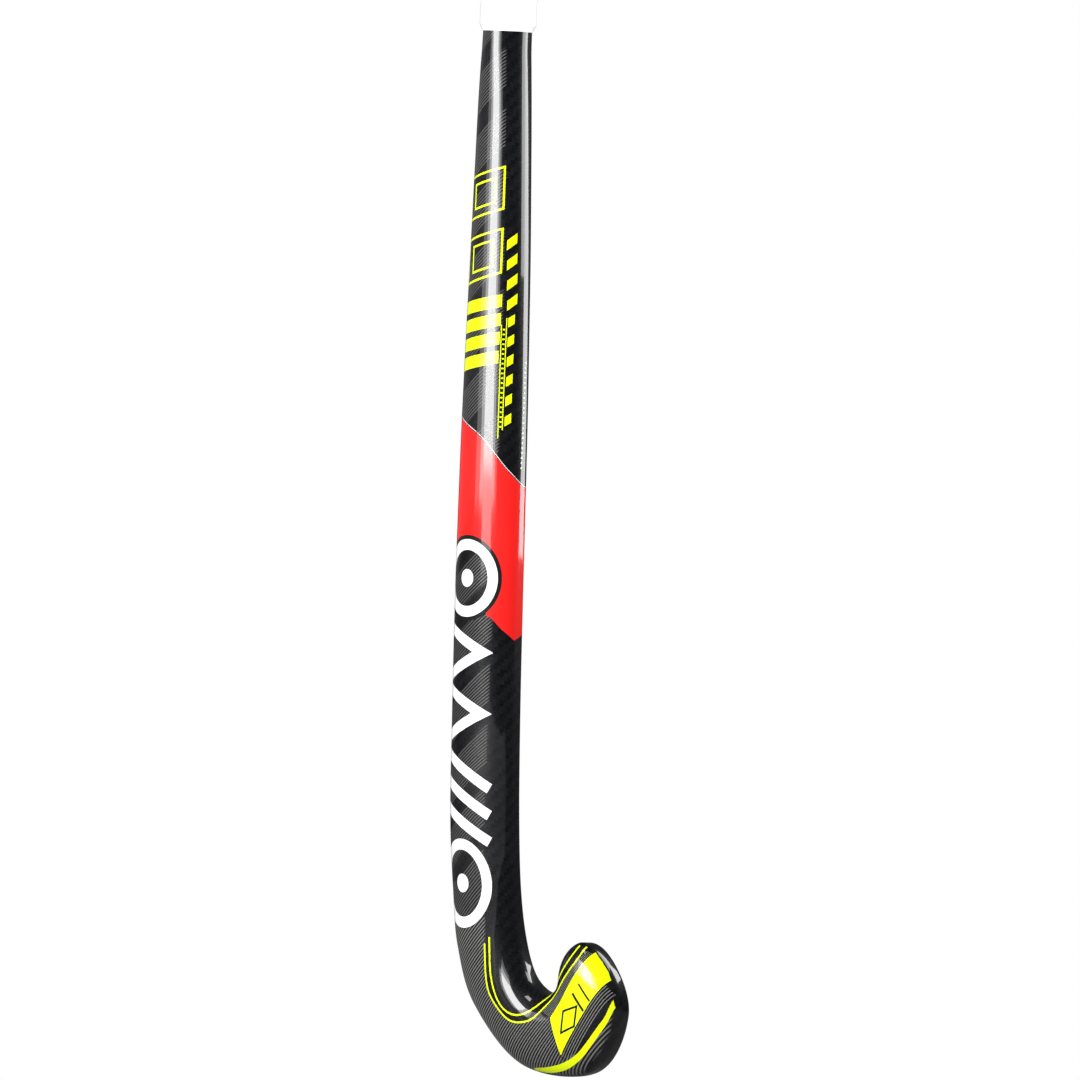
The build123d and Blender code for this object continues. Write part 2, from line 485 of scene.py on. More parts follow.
def twill_group() -> bpy.types.NodeTree:
    """Make the twill weave group: a tone with painted sheen and a height, both following crossing tows.

    Returns:
        The shader node group.
    """
    nodes, source, sink = make_group("Twill weave", "ShaderNodeTree", (
        SocketPlan("Map", VECTOR),
        SocketPlan("Tow", FLOAT, 0.0022),
        SocketPlan("Shade", FLOAT, is_output=True),
        SocketPlan("Height", FLOAT, is_output=True),
    ))
    repeat, over = 4.0, 1.5
    split = nodes.add("ShaderNodeSeparateXYZ", {0: source.outputs["Map"]})
    tow = source.outputs["Tow"]
    across = nodes.math("DIVIDE", split.outputs[0], tow)
    along = nodes.math("DIVIDE", split.outputs[1], tow)
    column = nodes.math("FLOOR", across)
    row = nodes.math("FLOOR", along)
    step = nodes.math("FLOORED_MODULO", nodes.math("ADD", column, row), repeat)
    is_warp = nodes.math("LESS_THAN", step, over)
    bulge_across = nodes.math("SINE", nodes.math("MULTIPLY", nodes.math("FRACT", across), math.pi))
    bulge_along = nodes.math("SINE", nodes.math("MULTIPLY", nodes.math("FRACT", along), math.pi))
    warp = nodes.math("MULTIPLY", is_warp, bulge_across)
    weft = nodes.math("MULTIPLY", nodes.math("SUBTRACT", 1.0, is_warp), bulge_along)
    cell = nodes.add("ShaderNodeCombineXYZ", {0: column, 1: row})
    noise = nodes.add("ShaderNodeTexWhiteNoise", {"Vector": cell.outputs[0]}, noise_dimensions="2D")
    # Painted sheen: warp tows are painted lighter than weft tows, and white noise varies each tow's
    # tone at random.
    tone = nodes.math("MULTIPLY_ADD", noise.outputs["Value"], 0.5, nodes.math("MULTIPLY", is_warp, 0.5))
    nodes.feed(sink.inputs["Shade"], tone)
    nodes.feed(sink.inputs["Height"], nodes.math("ADD", warp, weft))
    return nodes.tree


def pinstripe_group() -> bpy.types.NodeTree:
    """Make the pinstripe group: slanted fine lines, in slanted bands above the head.

    Returns:
        The shader node group.
    """
    nodes, source, sink = make_group("Pinstripes", "ShaderNodeTree", (
        SocketPlan("Position", VECTOR),
        SocketPlan("Shaft pitch", FLOAT, 0.00215),
        SocketPlan("Head pitch", FLOAT, 0.0025),
        SocketPlan("Line share", FLOAT, 0.40),
        SocketPlan("Line softness", FLOAT, 0.06),
        SocketPlan("Shaft slope", FLOAT, 0.86),
        SocketPlan("Head slope", FLOAT, 1.08),
        SocketPlan("Head height", FLOAT, -0.66),
        SocketPlan("Blend below", FLOAT, -0.03),
        SocketPlan("Blend above", FLOAT, 0.12),
        SocketPlan("Band period", FLOAT, 0.037),
        SocketPlan("Band share", FLOAT, 0.645),
        SocketPlan("Band start", FLOAT, 0.3754),
        SocketPlan("Lines", FLOAT, is_output=True),
    ))
    split = nodes.add("ShaderNodeSeparateXYZ", {0: source.outputs["Position"]})
    x, height = split.outputs[0], split.outputs[2]
    above = nodes.math("SUBTRACT", height, source.outputs["Head height"])
    on_shaft = nodes.ramp(above, source.outputs["Blend below"], source.outputs["Blend above"])
    slope_gap = nodes.math("SUBTRACT", source.outputs["Shaft slope"], source.outputs["Head slope"])
    slope = nodes.math("MULTIPLY_ADD", on_shaft, slope_gap, source.outputs["Head slope"])
    rise = nodes.math("SUBTRACT", above, nodes.math("MULTIPLY", x, slope))
    pitch_gap = nodes.math("SUBTRACT", source.outputs["Shaft pitch"], source.outputs["Head pitch"])
    pitch = nodes.math("MULTIPLY_ADD", on_shaft, pitch_gap, source.outputs["Head pitch"])
    phase = nodes.math("FRACT", nodes.math("DIVIDE", rise, pitch))
    centred = nodes.math("ABSOLUTE", nodes.math("SUBTRACT", phase, 0.5))
    half_line = nodes.math("MULTIPLY", source.outputs["Line share"], 0.5)
    softness = source.outputs["Line softness"]
    inside_line = nodes.math("SUBTRACT", half_line, centred)
    line = nodes.ramp(inside_line, nodes.math("MULTIPLY", softness, -1.0), softness)
    bands_up = nodes.math("DIVIDE", rise, source.outputs["Band period"])
    band_phase = nodes.math("FRACT", nodes.math("ADD", bands_up, source.outputs["Band start"]))
    in_band = nodes.math("LESS_THAN", band_phase, source.outputs["Band share"])
    in_head = nodes.math("LESS_THAN", above, 0.0)
    bands = nodes.math("MAXIMUM", in_band, in_head)
    nodes.feed(sink.inputs["Lines"], nodes.math("MULTIPLY", line, bands))
    return nodes.tree


def grain_group() -> bpy.types.NodeTree:
    """Make the grain group: a mottled value and a fine height for any moulded or printed skin.

    Returns:
        The shader node group.
    """
    nodes, source, sink = make_group("Skin grain", "ShaderNodeTree", (
        SocketPlan("Position", VECTOR),
        SocketPlan("Scale", FLOAT, 400.0),
        SocketPlan("Mottle share of scale", FLOAT, 0.08),
        SocketPlan("Mottle", FLOAT, is_output=True),
        SocketPlan("Height", FLOAT, is_output=True),
    ))
    position = source.outputs["Position"]
    share = source.outputs["Mottle share of scale"]
    coarse_scale = nodes.math("MULTIPLY", source.outputs["Scale"], share)
    coarse = nodes.add(
        "ShaderNodeTexNoise", {"Vector": position, "Scale": coarse_scale, "Detail": 4.0}
    )
    fine = nodes.add(
        "ShaderNodeTexNoise", {"Vector": position, "Scale": source.outputs["Scale"], "Detail": 2.0}
    )
    nodes.feed(sink.inputs["Mottle"], coarse.outputs["Fac"])
    nodes.feed(sink.inputs["Height"], fine.outputs["Fac"])
    return nodes.tree


GROUPS = {"twill": twill_group(), "pinstripes": pinstripe_group(), "grain": grain_group()}


# --------------------------------------------------------------------------- materials


@dataclass(frozen=True)
class Finish:
    """How one slot looks: its colours, its gloss and its fine relief."""

    name: str
    base: Colour
    second: Colour
    roughness: float
    coat: float = 0.0
    coat_roughness: float = 0.1
    bump: float = 0.1
    bump_depth: float = 0.0001
    grain_scale: float = 400.0
    specular: float = 0.5


@dataclass(frozen=True)
class LineInk:
    """The pinstripes' ink, and how much rougher it makes the skin and its coat."""

    colour: Colour = (0.142, 0.140, 0.134)
    added_roughness: float = 0.12
    added_coat_roughness: float = 0.2


@dataclass(frozen=True)
class Dimples:
    """The rows of small dimples punched in the cushion tape, and the painted shade in their floors."""

    per_metre: float = 260.0
    floor_edge: float = 0.14
    rim_edge: float = 0.30
    # Painted shade: the grey that the dimples' floors are mixed towards.
    colour: Colour = (0.42, 0.42, 0.43)
    grain_share: float = 0.15


WHITE = (1.0, 1.0, 1.0)
LINE_INK = LineInk()
DIMPLES = Dimples()


def opaque(colour: Colour) -> tuple[float, float, float, float]:
    """Add a full alpha to a colour.

    Args:
        colour: red, green and blue.

    Returns:
        Red, green, blue and 1.
    """
    return (*colour, 1.0)


class Paint:
    """Makes the materials."""

    @staticmethod
    def start(finish: Finish) -> tuple[bpy.types.Material, NodeTree, bpy.types.Node]:
        """Make a material with its Principled BSDF and the finish's even values.

        Args:
            finish: the finish to make.

        Returns:
            The material, its wrapped tree and the Principled BSDF.
        """
        material = bpy.data.materials.new(finish.name)
        material.use_nodes = True
        material.node_tree.nodes.clear()
        nodes = NodeTree(material.node_tree)
        surface = nodes.add("ShaderNodeBsdfPrincipled", {
            "Roughness": finish.roughness, "Coat Weight": finish.coat,
            "Coat Roughness": finish.coat_roughness, "Specular IOR Level": finish.specular,
        })
        output = nodes.add("ShaderNodeOutputMaterial")
        nodes.feed(output.inputs["Surface"], surface.outputs[0])
        return material, nodes, surface

    @staticmethod
    def group(nodes: NodeTree, name: str, inputs: dict) -> bpy.types.Node:
        """Add one of the shared groups.

        Args:
            nodes: the material's tree.
            name: the group's key in GROUPS.
            inputs: values or sockets by input name.

        Returns:
            The group's node.
        """
        node = nodes.add("ShaderNodeGroup", node_tree=GROUPS[name])
        for key, value in inputs.items():
            nodes.feed(node.inputs[key], value)
        return node

    @staticmethod
    def relief(nodes: NodeTree, surface: bpy.types.Node, finish: Finish, height: object) -> None:
        """Give the surface its fine relief.

        Args:
            nodes: the material's tree.
            surface: the Principled BSDF.
            finish: the finish, with the relief's strength and depth.
            height: the socket with the relief's height.
        """
        bump = nodes.add("ShaderNodeBump", {
            "Height": height, "Strength": finish.bump, "Distance": finish.bump_depth,
        })
        nodes.feed(surface.inputs["Normal"], bump.outputs[0])

    @classmethod
    def grained(cls, finish: Finish) -> bpy.types.Material:
        """Make a mottled material with a fine grain in its surface.

        Args:
            finish: the finish to make.

        Returns:
            The material.
        """
        material, nodes, surface = cls.start(finish)
        place = nodes.add("ShaderNodeTexCoord").outputs["Object"]
        grain = cls.group(nodes, "grain", {"Position": place, "Scale": finish.grain_scale})
        tone = nodes.mix(grain.outputs["Mottle"], opaque(finish.base), opaque(finish.second))
        nodes.feed(surface.inputs["Base Color"], tone)
        cls.relief(nodes, surface, finish, grain.outputs["Height"])
        return material

    @classmethod
    def laminate(cls, finish: Finish) -> bpy.types.Material:
        """Make the clear-coated dark weave with its pinstriped film on the heel side.

        Args:
            finish: the finish to make.

        Returns:
            The material.
        """
        material, nodes, surface = cls.start(finish)
        place = nodes.add("ShaderNodeTexCoord").outputs["Object"]
        wrap = nodes.add("ShaderNodeUVMap", uv_map=WRAP_MAP).outputs[0]
        weave = cls.group(nodes, "twill", {"Map": wrap})
        stripes = cls.group(nodes, "pinstripes", {"Position": place})
        grain = cls.group(nodes, "grain", {"Position": place, "Scale": finish.grain_scale})
        printed = nodes.add("ShaderNodeAttribute", attribute_name=PRINTED_SHARE).outputs["Fac"]
        lines = nodes.math("MULTIPLY", stripes.outputs["Lines"], printed)
        # Painted sheen: the weave's warp tows come out lighter than its weft, under the random mottle.
        shade = nodes.math("MULTIPLY", weave.outputs["Shade"], grain.outputs["Mottle"], clamp=True)
        tone = nodes.mix(shade, opaque(finish.base), opaque(finish.second))
        inked = nodes.mix(lines, tone, opaque(LINE_INK.colour))
        nodes.feed(surface.inputs["Base Color"], inked)
        rough = nodes.math("MULTIPLY_ADD", lines, LINE_INK.added_roughness, finish.roughness)
        nodes.feed(surface.inputs["Roughness"], rough)
        added = LINE_INK.added_coat_roughness
        coat_rough = nodes.math("MULTIPLY_ADD", lines, added, finish.coat_roughness)
        nodes.feed(surface.inputs["Coat Roughness"], coat_rough)
        cls.relief(nodes, surface, finish, weave.outputs["Height"])
        return material

    @classmethod
    def woven(cls, finish: Finish) -> bpy.types.Material:
        """Make a nearly bare weave for the layers inside.

        Args:
            finish: the finish to make.

        Returns:
            The material.
        """
        material, nodes, surface = cls.start(finish)
        place = nodes.add("ShaderNodeTexCoord").outputs["Object"]
        split = nodes.add("ShaderNodeSeparateXYZ", {0: place})
        flat = nodes.add("ShaderNodeCombineXYZ", {0: split.outputs[0], 1: split.outputs[2]})
        weave = cls.group(nodes, "twill", {"Map": flat.outputs[0]})
        # Painted sheen: the weave's warp tows come out lighter than its weft.
        tone = nodes.mix(weave.outputs["Shade"], opaque(finish.base), opaque(finish.second))
        nodes.feed(surface.inputs["Base Color"], tone)
        cls.relief(nodes, surface, finish, weave.outputs["Height"])
        return material

    @classmethod
    def cushion(cls, finish: Finish) -> bpy.types.Material:
        """Make the grip's cushion tape: soft, with rows of small punched dimples holding painted shade.

        Args:
            finish: the finish to make.

        Returns:
            The material.
        """
        material, nodes, surface = cls.start(finish)
        place = nodes.add("ShaderNodeTexCoord").outputs["Object"]
        wind = nodes.add("ShaderNodeUVMap", uv_map=WIND_MAP).outputs[0]
        grain = cls.group(nodes, "grain", {"Position": place, "Scale": finish.grain_scale})
        dots = nodes.add(
            "ShaderNodeTexVoronoi", {"Vector": wind, "Scale": DIMPLES.per_metre, "Randomness": 0.0}
        ).outputs["Distance"]
        # Painted shade: the dimples' floors are mixed towards a grey, fading out at their rims; the
        # same mask gives their relief.
        dimple_relief_and_shade = nodes.ramp(dots, DIMPLES.floor_edge, DIMPLES.rim_edge)
        tone = nodes.mix(grain.outputs["Mottle"], opaque(finish.base), opaque(finish.second))
        shaded = nodes.mix(dimple_relief_and_shade, opaque(DIMPLES.colour), tone)
        nodes.feed(surface.inputs["Base Color"], shaded)
        height = nodes.math("MULTIPLY_ADD", grain.outputs["Height"], DIMPLES.grain_share, dimple_relief_and_shade)
        cls.relief(nodes, surface, finish, height)
        return material


def ink(name: str, base: Colour, second: Colour) -> Finish:
    """Describe a printed ink under the clear coat.

    Args:
        name: the material's name.
        base: the ink's colour.
        second: the colour that it is mottled with.

    Returns:
        The finish.
    """
    return Finish(name, base, second, roughness=0.45, coat=1.0, coat_roughness=0.06, bump=0.05,
                  bump_depth=0.00003, specular=0.1)


FINISHES = {
    "laminate": Finish("clear_coated_weave", (0.0011, 0.0013, 0.0019), (0.0108, 0.0112, 0.0140),
                       roughness=0.36, coat=1.0, coat_roughness=0.04, bump=0.25, bump_depth=0.00006,
                       grain_scale=300.0, specular=0.12),
    "inner_laminate": Finish("bare_weave", (0.012, 0.012, 0.013), (0.06, 0.06, 0.062),
                             roughness=0.5, coat=0.2, coat_roughness=0.2, bump=0.3),
    "core_foam": Finish("closed_cell_foam", (0.62, 0.55, 0.36), (0.50, 0.43, 0.27),
                        roughness=0.9, bump=0.6, bump_depth=0.0004, grain_scale=900.0),
    "cap_rubber": Finish("black_rubber", (0.012, 0.012, 0.012), (0.03, 0.03, 0.03),
                         roughness=0.62, bump=0.25, grain_scale=700.0),
    "base_tape": Finish("cloth_base_tape", (0.55, 0.54, 0.50), (0.42, 0.41, 0.38),
                        roughness=0.8, bump=0.4, bump_depth=0.0002, grain_scale=900.0),
    "grip_cushion": Finish("white_cushion_tape", (0.84, 0.84, 0.84), (0.76, 0.76, 0.77),
                           roughness=0.55, coat=0.15, coat_roughness=0.3, bump=0.5,
                           bump_depth=0.0004, grain_scale=500.0),
    "band_tape": Finish("white_band_tape", (0.86, 0.86, 0.86), (0.80, 0.80, 0.81),
                        roughness=0.35, coat=0.4, coat_roughness=0.15, bump=0.15,
                        grain_scale=500.0),
    "red_ink": ink("red_ink", (0.80, 0.011, 0.009), (0.72, 0.010, 0.008)),
    "white_ink": ink("white_ink", (0.86, 0.86, 0.86), (0.80, 0.80, 0.80)),
    "yellow_ink": ink("yellow_ink", (0.72, 0.86, 0.0), (0.66, 0.80, 0.0)),
    "black_ink": ink("black_ink", (0.004, 0.004, 0.004), (0.008, 0.008, 0.008)),
    "grey_ink": ink("grey_ink", (0.20, 0.20, 0.18), (0.15, 0.15, 0.14)),
    "pale_ink": ink("pale_ink", (0.45, 0.60, 0.42), (0.38, 0.52, 0.36)),
}
MAKERS: dict[str, Callable[[Finish], bpy.types.Material]] = {
    "laminate": Paint.laminate, "inner_laminate": Paint.woven, "grip_cushion": Paint.cushion,
}
MATERIALS = {slot: MAKERS.get(slot, Paint.grained)(finish) for slot, finish in FINISHES.items()}


# --------------------------------------------------------------------------- the stick's skin


def rounded(points: Sequence[Point], steps: int = 5) -> np.ndarray:
    """Return a smooth curve through points, as a Catmull-Rom spline.

    Args:
        points: the points to pass through.
        steps: how many pieces each span is cut into.

    Returns:
        The curve's points as rows.
    """
    path = np.array(points, dtype=float)
    path = np.concatenate([2 * path[:1] - path[1:2], path, 2 * path[-1:] - path[-2:-1]])
    share = (np.arange(steps) / steps)[:, None]
    curve = []
    for before, start, end, after in zip(path, path[1:], path[2:], path[3:]):
        square = before - 2.5 * start + 2 * end - after / 2
        cube = (after - before) / 2 + 1.5 * (start - end)
        curve.append(start + share * ((end - before) / 2 + share * (square + share * cube)))
    return np.concatenate([*curve, path[-2:-1]])


# Outlines on the head, as (x, height) in millimetres
HOOK_OUTER = (
    (12.5, 76.5), (13.5, 57.5), (16.0, 47.0), (23.0, 38.0), (31.0, 32.0), (40.0, 31.0), (50.0, 34.5),
    (62.0, 47.5), (80.5, 69.0), (85.5, 78.5),
)
HOOK_INNER = (
    (15.5, 80.5), (17.0, 58.5), (22.0, 44.0), (30.0, 36.5), (40.0, 35.5), (50.0, 41.0), (61.5, 53.5),
    (76.0, 71.5), (81.0, 79.0),
)
TOE_PATCH = (
    (91.0, 75.5), (96.0, 70.0), (100.0, 64.5), (102.5, 59.5), (70.0, 13.0), (67.5, 21.0), (62.5, 35.0),
)
HEAD_STRIPES = (
    (12.5, 95.0), *rounded(HOOK_OUTER[:7]), (62.5, 35.0), (67.5, 21.0), (71.0, 10.5), (84.5, 15.5),
    (99.0, 32.0), (105.5, 46.0), (106.0, 43.5), (102.5, 28.5), (95.0, 16.5), (83.5, 6.0), (72.0, -4.0),
    (0.0, -6.0), (-40.0, 30.0), (-40.0, 95.0),
)


def inside_region(spots: np.ndarray, corners: Sequence[Point], soft: float = 0.6) -> np.ndarray:
    """Return 1 inside a region and 0 outside it, turning smoothly at its edge.

    Args:
        spots: an array whose last axis is (x, height) in millimetres.
        corners: the region's corners in order.
        soft: half the width of the smooth edge.

    Returns:
        An array of shares from 0 to 1.
    """
    x, y = spots[..., 0], spots[..., 1]
    within = np.zeros(x.shape, dtype=bool)
    nearest = np.full(x.shape, 1e6)
    for (x0, y0), (x1, y1) in zip(corners, (*corners[1:], corners[0])):
        crosses = (y0 > y) != (y1 > y)
        height = y1 - y0 if y1 != y0 else 1e-9
        within ^= crosses & (x < (x1 - x0) * (y - y0) / height + x0)
        length = (x1 - x0) ** 2 + (y1 - y0) ** 2
        share = np.clip(((x - x0) * (x1 - x0) + (y - y0) * (y1 - y0)) / length, 0, 1)
        nearest = np.minimum(nearest, np.hypot(x - x0 - share * (x1 - x0), y - y0 - share * (y1 - y0)))
    return np.clip(0.5 + np.where(within, nearest, -nearest) / (2 * soft), 0, 1)


@dataclass(frozen=True)
class SkinSizes:
    """How finely the skin is made, and where its printed film ends."""

    around: int = 128
    rings_per_handle_span: int = 9
    rings_per_span: int = 26
    dome_rings: int = 34
    measuring_steps: int = 1441
    arc_share: float = 0.65
    straight_rings: int = 200
    cap_flange: float = 3.0
    pole_gap: float = 1.0
    shaft_print: float = 0.5
    film_softness: float = 0.6
    heel_film_edge: float = 34.0
    head_starts: float = 530.0
    head_reach: float = 0.75
    film_edge: tuple[Point, ...] = (
        (8.0, -40.0), (10.5, 17.0), (13.0, 100.0), (14.5, 160.0), (14.5, 220.0), (15.5, 292.0),
        (14.0, 360.0), (12.0, 466.0), (8.0, 533.0), (5.0, 697.0),
    )


class Skin:
    """The stick's outer surface, with a map of how far round and how far down every point is."""

    def __init__(self, form: StickForm, sizes: SkinSizes = SkinSizes()) -> None:
        """Work out the rings and the map.

        Args:
            form: the stick's form.
            sizes: how finely it is made.
        """
        self.form = form
        self.sizes = sizes
        self.places = self.ring_places()
        turns = np.linspace(math.pi / 2, 2.5 * math.pi, sizes.measuring_steps)
        self.rings = []
        self.across = []
        for place in self.places:
            dense = form.ring(place, turns)
            steps = np.linalg.norm(np.diff(dense, axis=0), axis=1)
            arc = np.concatenate([[0.0], np.cumsum(steps)])
            even = (turns - turns[0]) / (turns[-1] - turns[0])
            measure = sizes.arc_share * arc / arc[-1] + (1 - sizes.arc_share) * even
            spots = np.interp(np.linspace(0, 1, sizes.around + 1), measure, turns)
            self.rings.append(form.ring(place, spots))
            from_back = arc - np.interp(1.5 * math.pi, turns, arc)
            self.across.append(np.interp(spots, turns, from_back))
        stations = np.array([form.station_at(place) for place in self.places])
        centres = np.stack([stations[:, 0] + stations[:, 2], stations[:, 1] + stations[:, 3]], 1) / 2
        steps = np.linalg.norm(np.diff(centres, axis=0), axis=1)
        down = np.concatenate([[0.0], np.cumsum(steps)])
        straight = slice(sizes.straight_rings)
        self.down = down - np.interp(-GRIP_BOTTOM, -centres[straight, 1], down[straight])

    def ring_places(self) -> np.ndarray:
        """Space the rings from the butt to just short of the toe's tip.

        Returns:
            The places of the rings.
        """
        form, sizes = self.form, self.sizes
        last_handle = len(form.handle_heights) - 1
        first_span = form.handle_heights[0] - form.handle_heights[1]
        under_cap = form.handle_heights[0] - (form.length - sizes.cap_flange)
        top = max(0.0, min(1.0, under_cap / first_span))
        handle = np.linspace(top, last_handle, last_handle * sizes.rings_per_handle_span)
        dome = form.tip_place() - form.toe_dome
        spans = int((dome - last_handle) * sizes.rings_per_span)
        body = np.linspace(last_handle, dome, spans)[1:]
        sweep = np.linspace(0, math.pi / 2, sizes.dome_rings)[1:-1]
        return np.concatenate([handle, body, dome + form.toe_dome * np.sin(sweep)])

    def build(self) -> bpy.types.Object:
        """Make the skin as a closed mesh with its wrap map and its printed share.

        Returns:
            The skin's object.
        """
        rings = np.array(self.rings)[:, :-1]
        skin = ring_mesh("stick_skin", to_frame(rings.reshape(-1, 3)).reshape(rings.shape))
        mesh = skin.data
        layer = mesh.uv_layers.new(name=WRAP_MAP)
        layer.data.foreach_set("uv", (self.wrap_values(mesh) * MM).ravel())
        printed = mesh.attributes.new(PRINTED_SHARE, "FLOAT", "POINT")
        printed.data.foreach_set("value", self.printed_share(rings))
        mesh.materials.append(MATERIALS["laminate"])
        face_outward(skin)
        return skin

    def wrap_values(self, mesh: bpy.types.Mesh) -> np.ndarray:
        """Work out the wrap map at every face corner.

        Args:
            mesh: the skin's mesh.

        Returns:
            Rows of (across, down) in millimetres, with the seam in the middle of the face.
        """
        around, count = self.sizes.around, len(self.rings)
        values = np.zeros((len(mesh.loops), 2))
        corner_points = np.zeros(len(mesh.loops), dtype=int)
        mesh.loops.foreach_get("vertex_index", corner_points)
        for polygon in mesh.polygons:
            loops = range(polygon.loop_start, polygon.loop_start + polygon.loop_total)
            points = corner_points[loops.start : loops.stop]
            columns = [int(point) % around for point in points if point < count * around]
            seam = max(columns) - min(columns) > 1
            for loop, point in zip(loops, points):
                if point >= count * around:
                    first = point == count * around
                    ring, way = (0, -1.0) if first else (count - 1, 1.0)
                    values[loop] = (0.0, self.down[ring] + way * self.sizes.pole_gap)
                    continue
                ring, column = divmod(int(point), around)
                column += around if seam and column == 0 else 0
                values[loop] = (self.across[ring][column], self.down[ring])
        return values

    def printed_share(self, rings: np.ndarray) -> np.ndarray:
        """Work out how strongly the pinstripes are printed at every point.

        Args:
            rings: the skin's points in millimetres, by ring.

        Returns:
            A share for each point, the two poles last.
        """
        sizes = self.sizes
        edge = np.array(sizes.film_edge)
        limit = np.interp(self.down, edge[:, 1], edge[:, 0])
        across = np.array(self.across)
        half_girth = across[:, -1:]
        across = across[:, :-1]
        toe_side = np.clip((limit[:, None] - across) / sizes.film_softness, 0, 1)
        heel_side = np.clip((across + sizes.heel_film_edge) / sizes.film_softness, 0, 1)
        shaft = toe_side * heel_side * sizes.shaft_print
        on_back = np.abs(across) < half_girth * sizes.head_reach
        head = inside_region(rings[..., [0, 2]], HEAD_STRIPES) * on_back
        on_head = (self.down > sizes.head_starts)[:, None]
        return np.concatenate([np.where(on_head, head, shaft).ravel(), [0.0, 1.0]])


# --------------------------------------------------------------------------- printed films


def film_tree(name: str, projected: bool) -> bpy.types.NodeTree:
    """Make the tree that lays flat artwork onto the skin and repeats it.

    Args:
        name: the tree's name.
        projected: True to press the artwork straight onto the back, False to wrap it round.

    Returns:
        The Geometry Nodes tree.
    """
    nodes, source, sink = make_group(name, "GeometryNodeTree", (
        SocketPlan("Geometry", "NodeSocketGeometry"),
        SocketPlan("Skin", "NodeSocketObject"),
        SocketPlan("Count", "NodeSocketInt", 1),
        SocketPlan("Step", VECTOR),
        SocketPlan("Lift", FLOAT, 0.00004),
        SocketPlan("Material", "NodeSocketMaterial"),
        SocketPlan("Geometry", "NodeSocketGeometry", is_output=True),
    ))
    places = nodes.add("GeometryNodeMeshLine", {"Count": source.outputs["Count"]}, mode="OFFSET")
    nodes.feed(places.inputs["Offset"], source.outputs["Step"])
    copies = nodes.add("GeometryNodeInstanceOnPoints", {
        "Points": places.outputs[0], "Instance": source.outputs["Geometry"],
    })
    art = nodes.add("GeometryNodeRealizeInstances", {"Geometry": copies.outputs[0]}).outputs[0]
    info = nodes.add("GeometryNodeObjectInfo", {"Object": source.outputs["Skin"]})
    skin = info.outputs["Geometry"]
    here = nodes.add("GeometryNodeInputPosition").outputs[0]
    normal = nodes.add("GeometryNodeInputNormal").outputs[0]
    if projected:
        rays = nodes.add("GeometryNodeRaycast", {
            "Target Geometry": skin, "Source Position": here, "Ray Direction": (0.0, 1.0, 0.0),
            "Ray Length": 1.0,
        })
        base, outward = rays.outputs["Hit Position"], rays.outputs["Hit Normal"]
        landed = rays.outputs["Is Hit"]
    else:
        chart = nodes.add(
            "GeometryNodeInputNamedAttribute", {"Name": WRAP_MAP}, data_type="FLOAT_VECTOR"
        )
        samples = []
        for value in (here, normal):
            sample = nodes.add("GeometryNodeSampleUVSurface", data_type="FLOAT_VECTOR")
            nodes.feed(sample.inputs["Mesh"], skin)
            nodes.feed(sample.inputs["Value"], value)
            nodes.feed(sample.inputs["UV Map"], chart.outputs["Attribute"])
            nodes.feed(sample.inputs["Sample UV"], here)
            samples.append(sample.outputs["Value"])
        base, outward = samples
        landed = sample.outputs["Is Valid"]
    unit = nodes.add("ShaderNodeVectorMath", {0: outward}, operation="NORMALIZE").outputs[0]
    lift = nodes.add("ShaderNodeVectorMath", {0: unit}, operation="SCALE")
    nodes.feed(lift.inputs["Scale"], source.outputs["Lift"])
    lifted = nodes.add("ShaderNodeVectorMath", {0: base, 1: lift.outputs[0]}, operation="ADD")
    missed = nodes.add("FunctionNodeBooleanMath", {0: landed}, operation="NOT").outputs[0]
    kept = nodes.add("GeometryNodeDeleteGeometry", {"Geometry": art, "Selection": missed})
    laid = nodes.add("GeometryNodeSetPosition", {"Geometry": kept.outputs[0]})
    nodes.feed(laid.inputs["Position"], lifted.outputs[0])
    done = nodes.add("GeometryNodeSetMaterial", {
        "Geometry": laid.outputs[0], "Material": source.outputs["Material"],
    })
    nodes.feed(sink.inputs[0], done.outputs[0])
    return nodes.tree


class FilmKind(Enum):
    """The ways that a film goes onto the stick."""

    WRAPPED = "Wrapped film"
    PRESSED = "Pressed film"


MITRE_LIMIT = 0.4
CUT_TOLERANCE = 1e-5
MERGE_GAP = 1e-4
BEHIND_STICK = -0.3


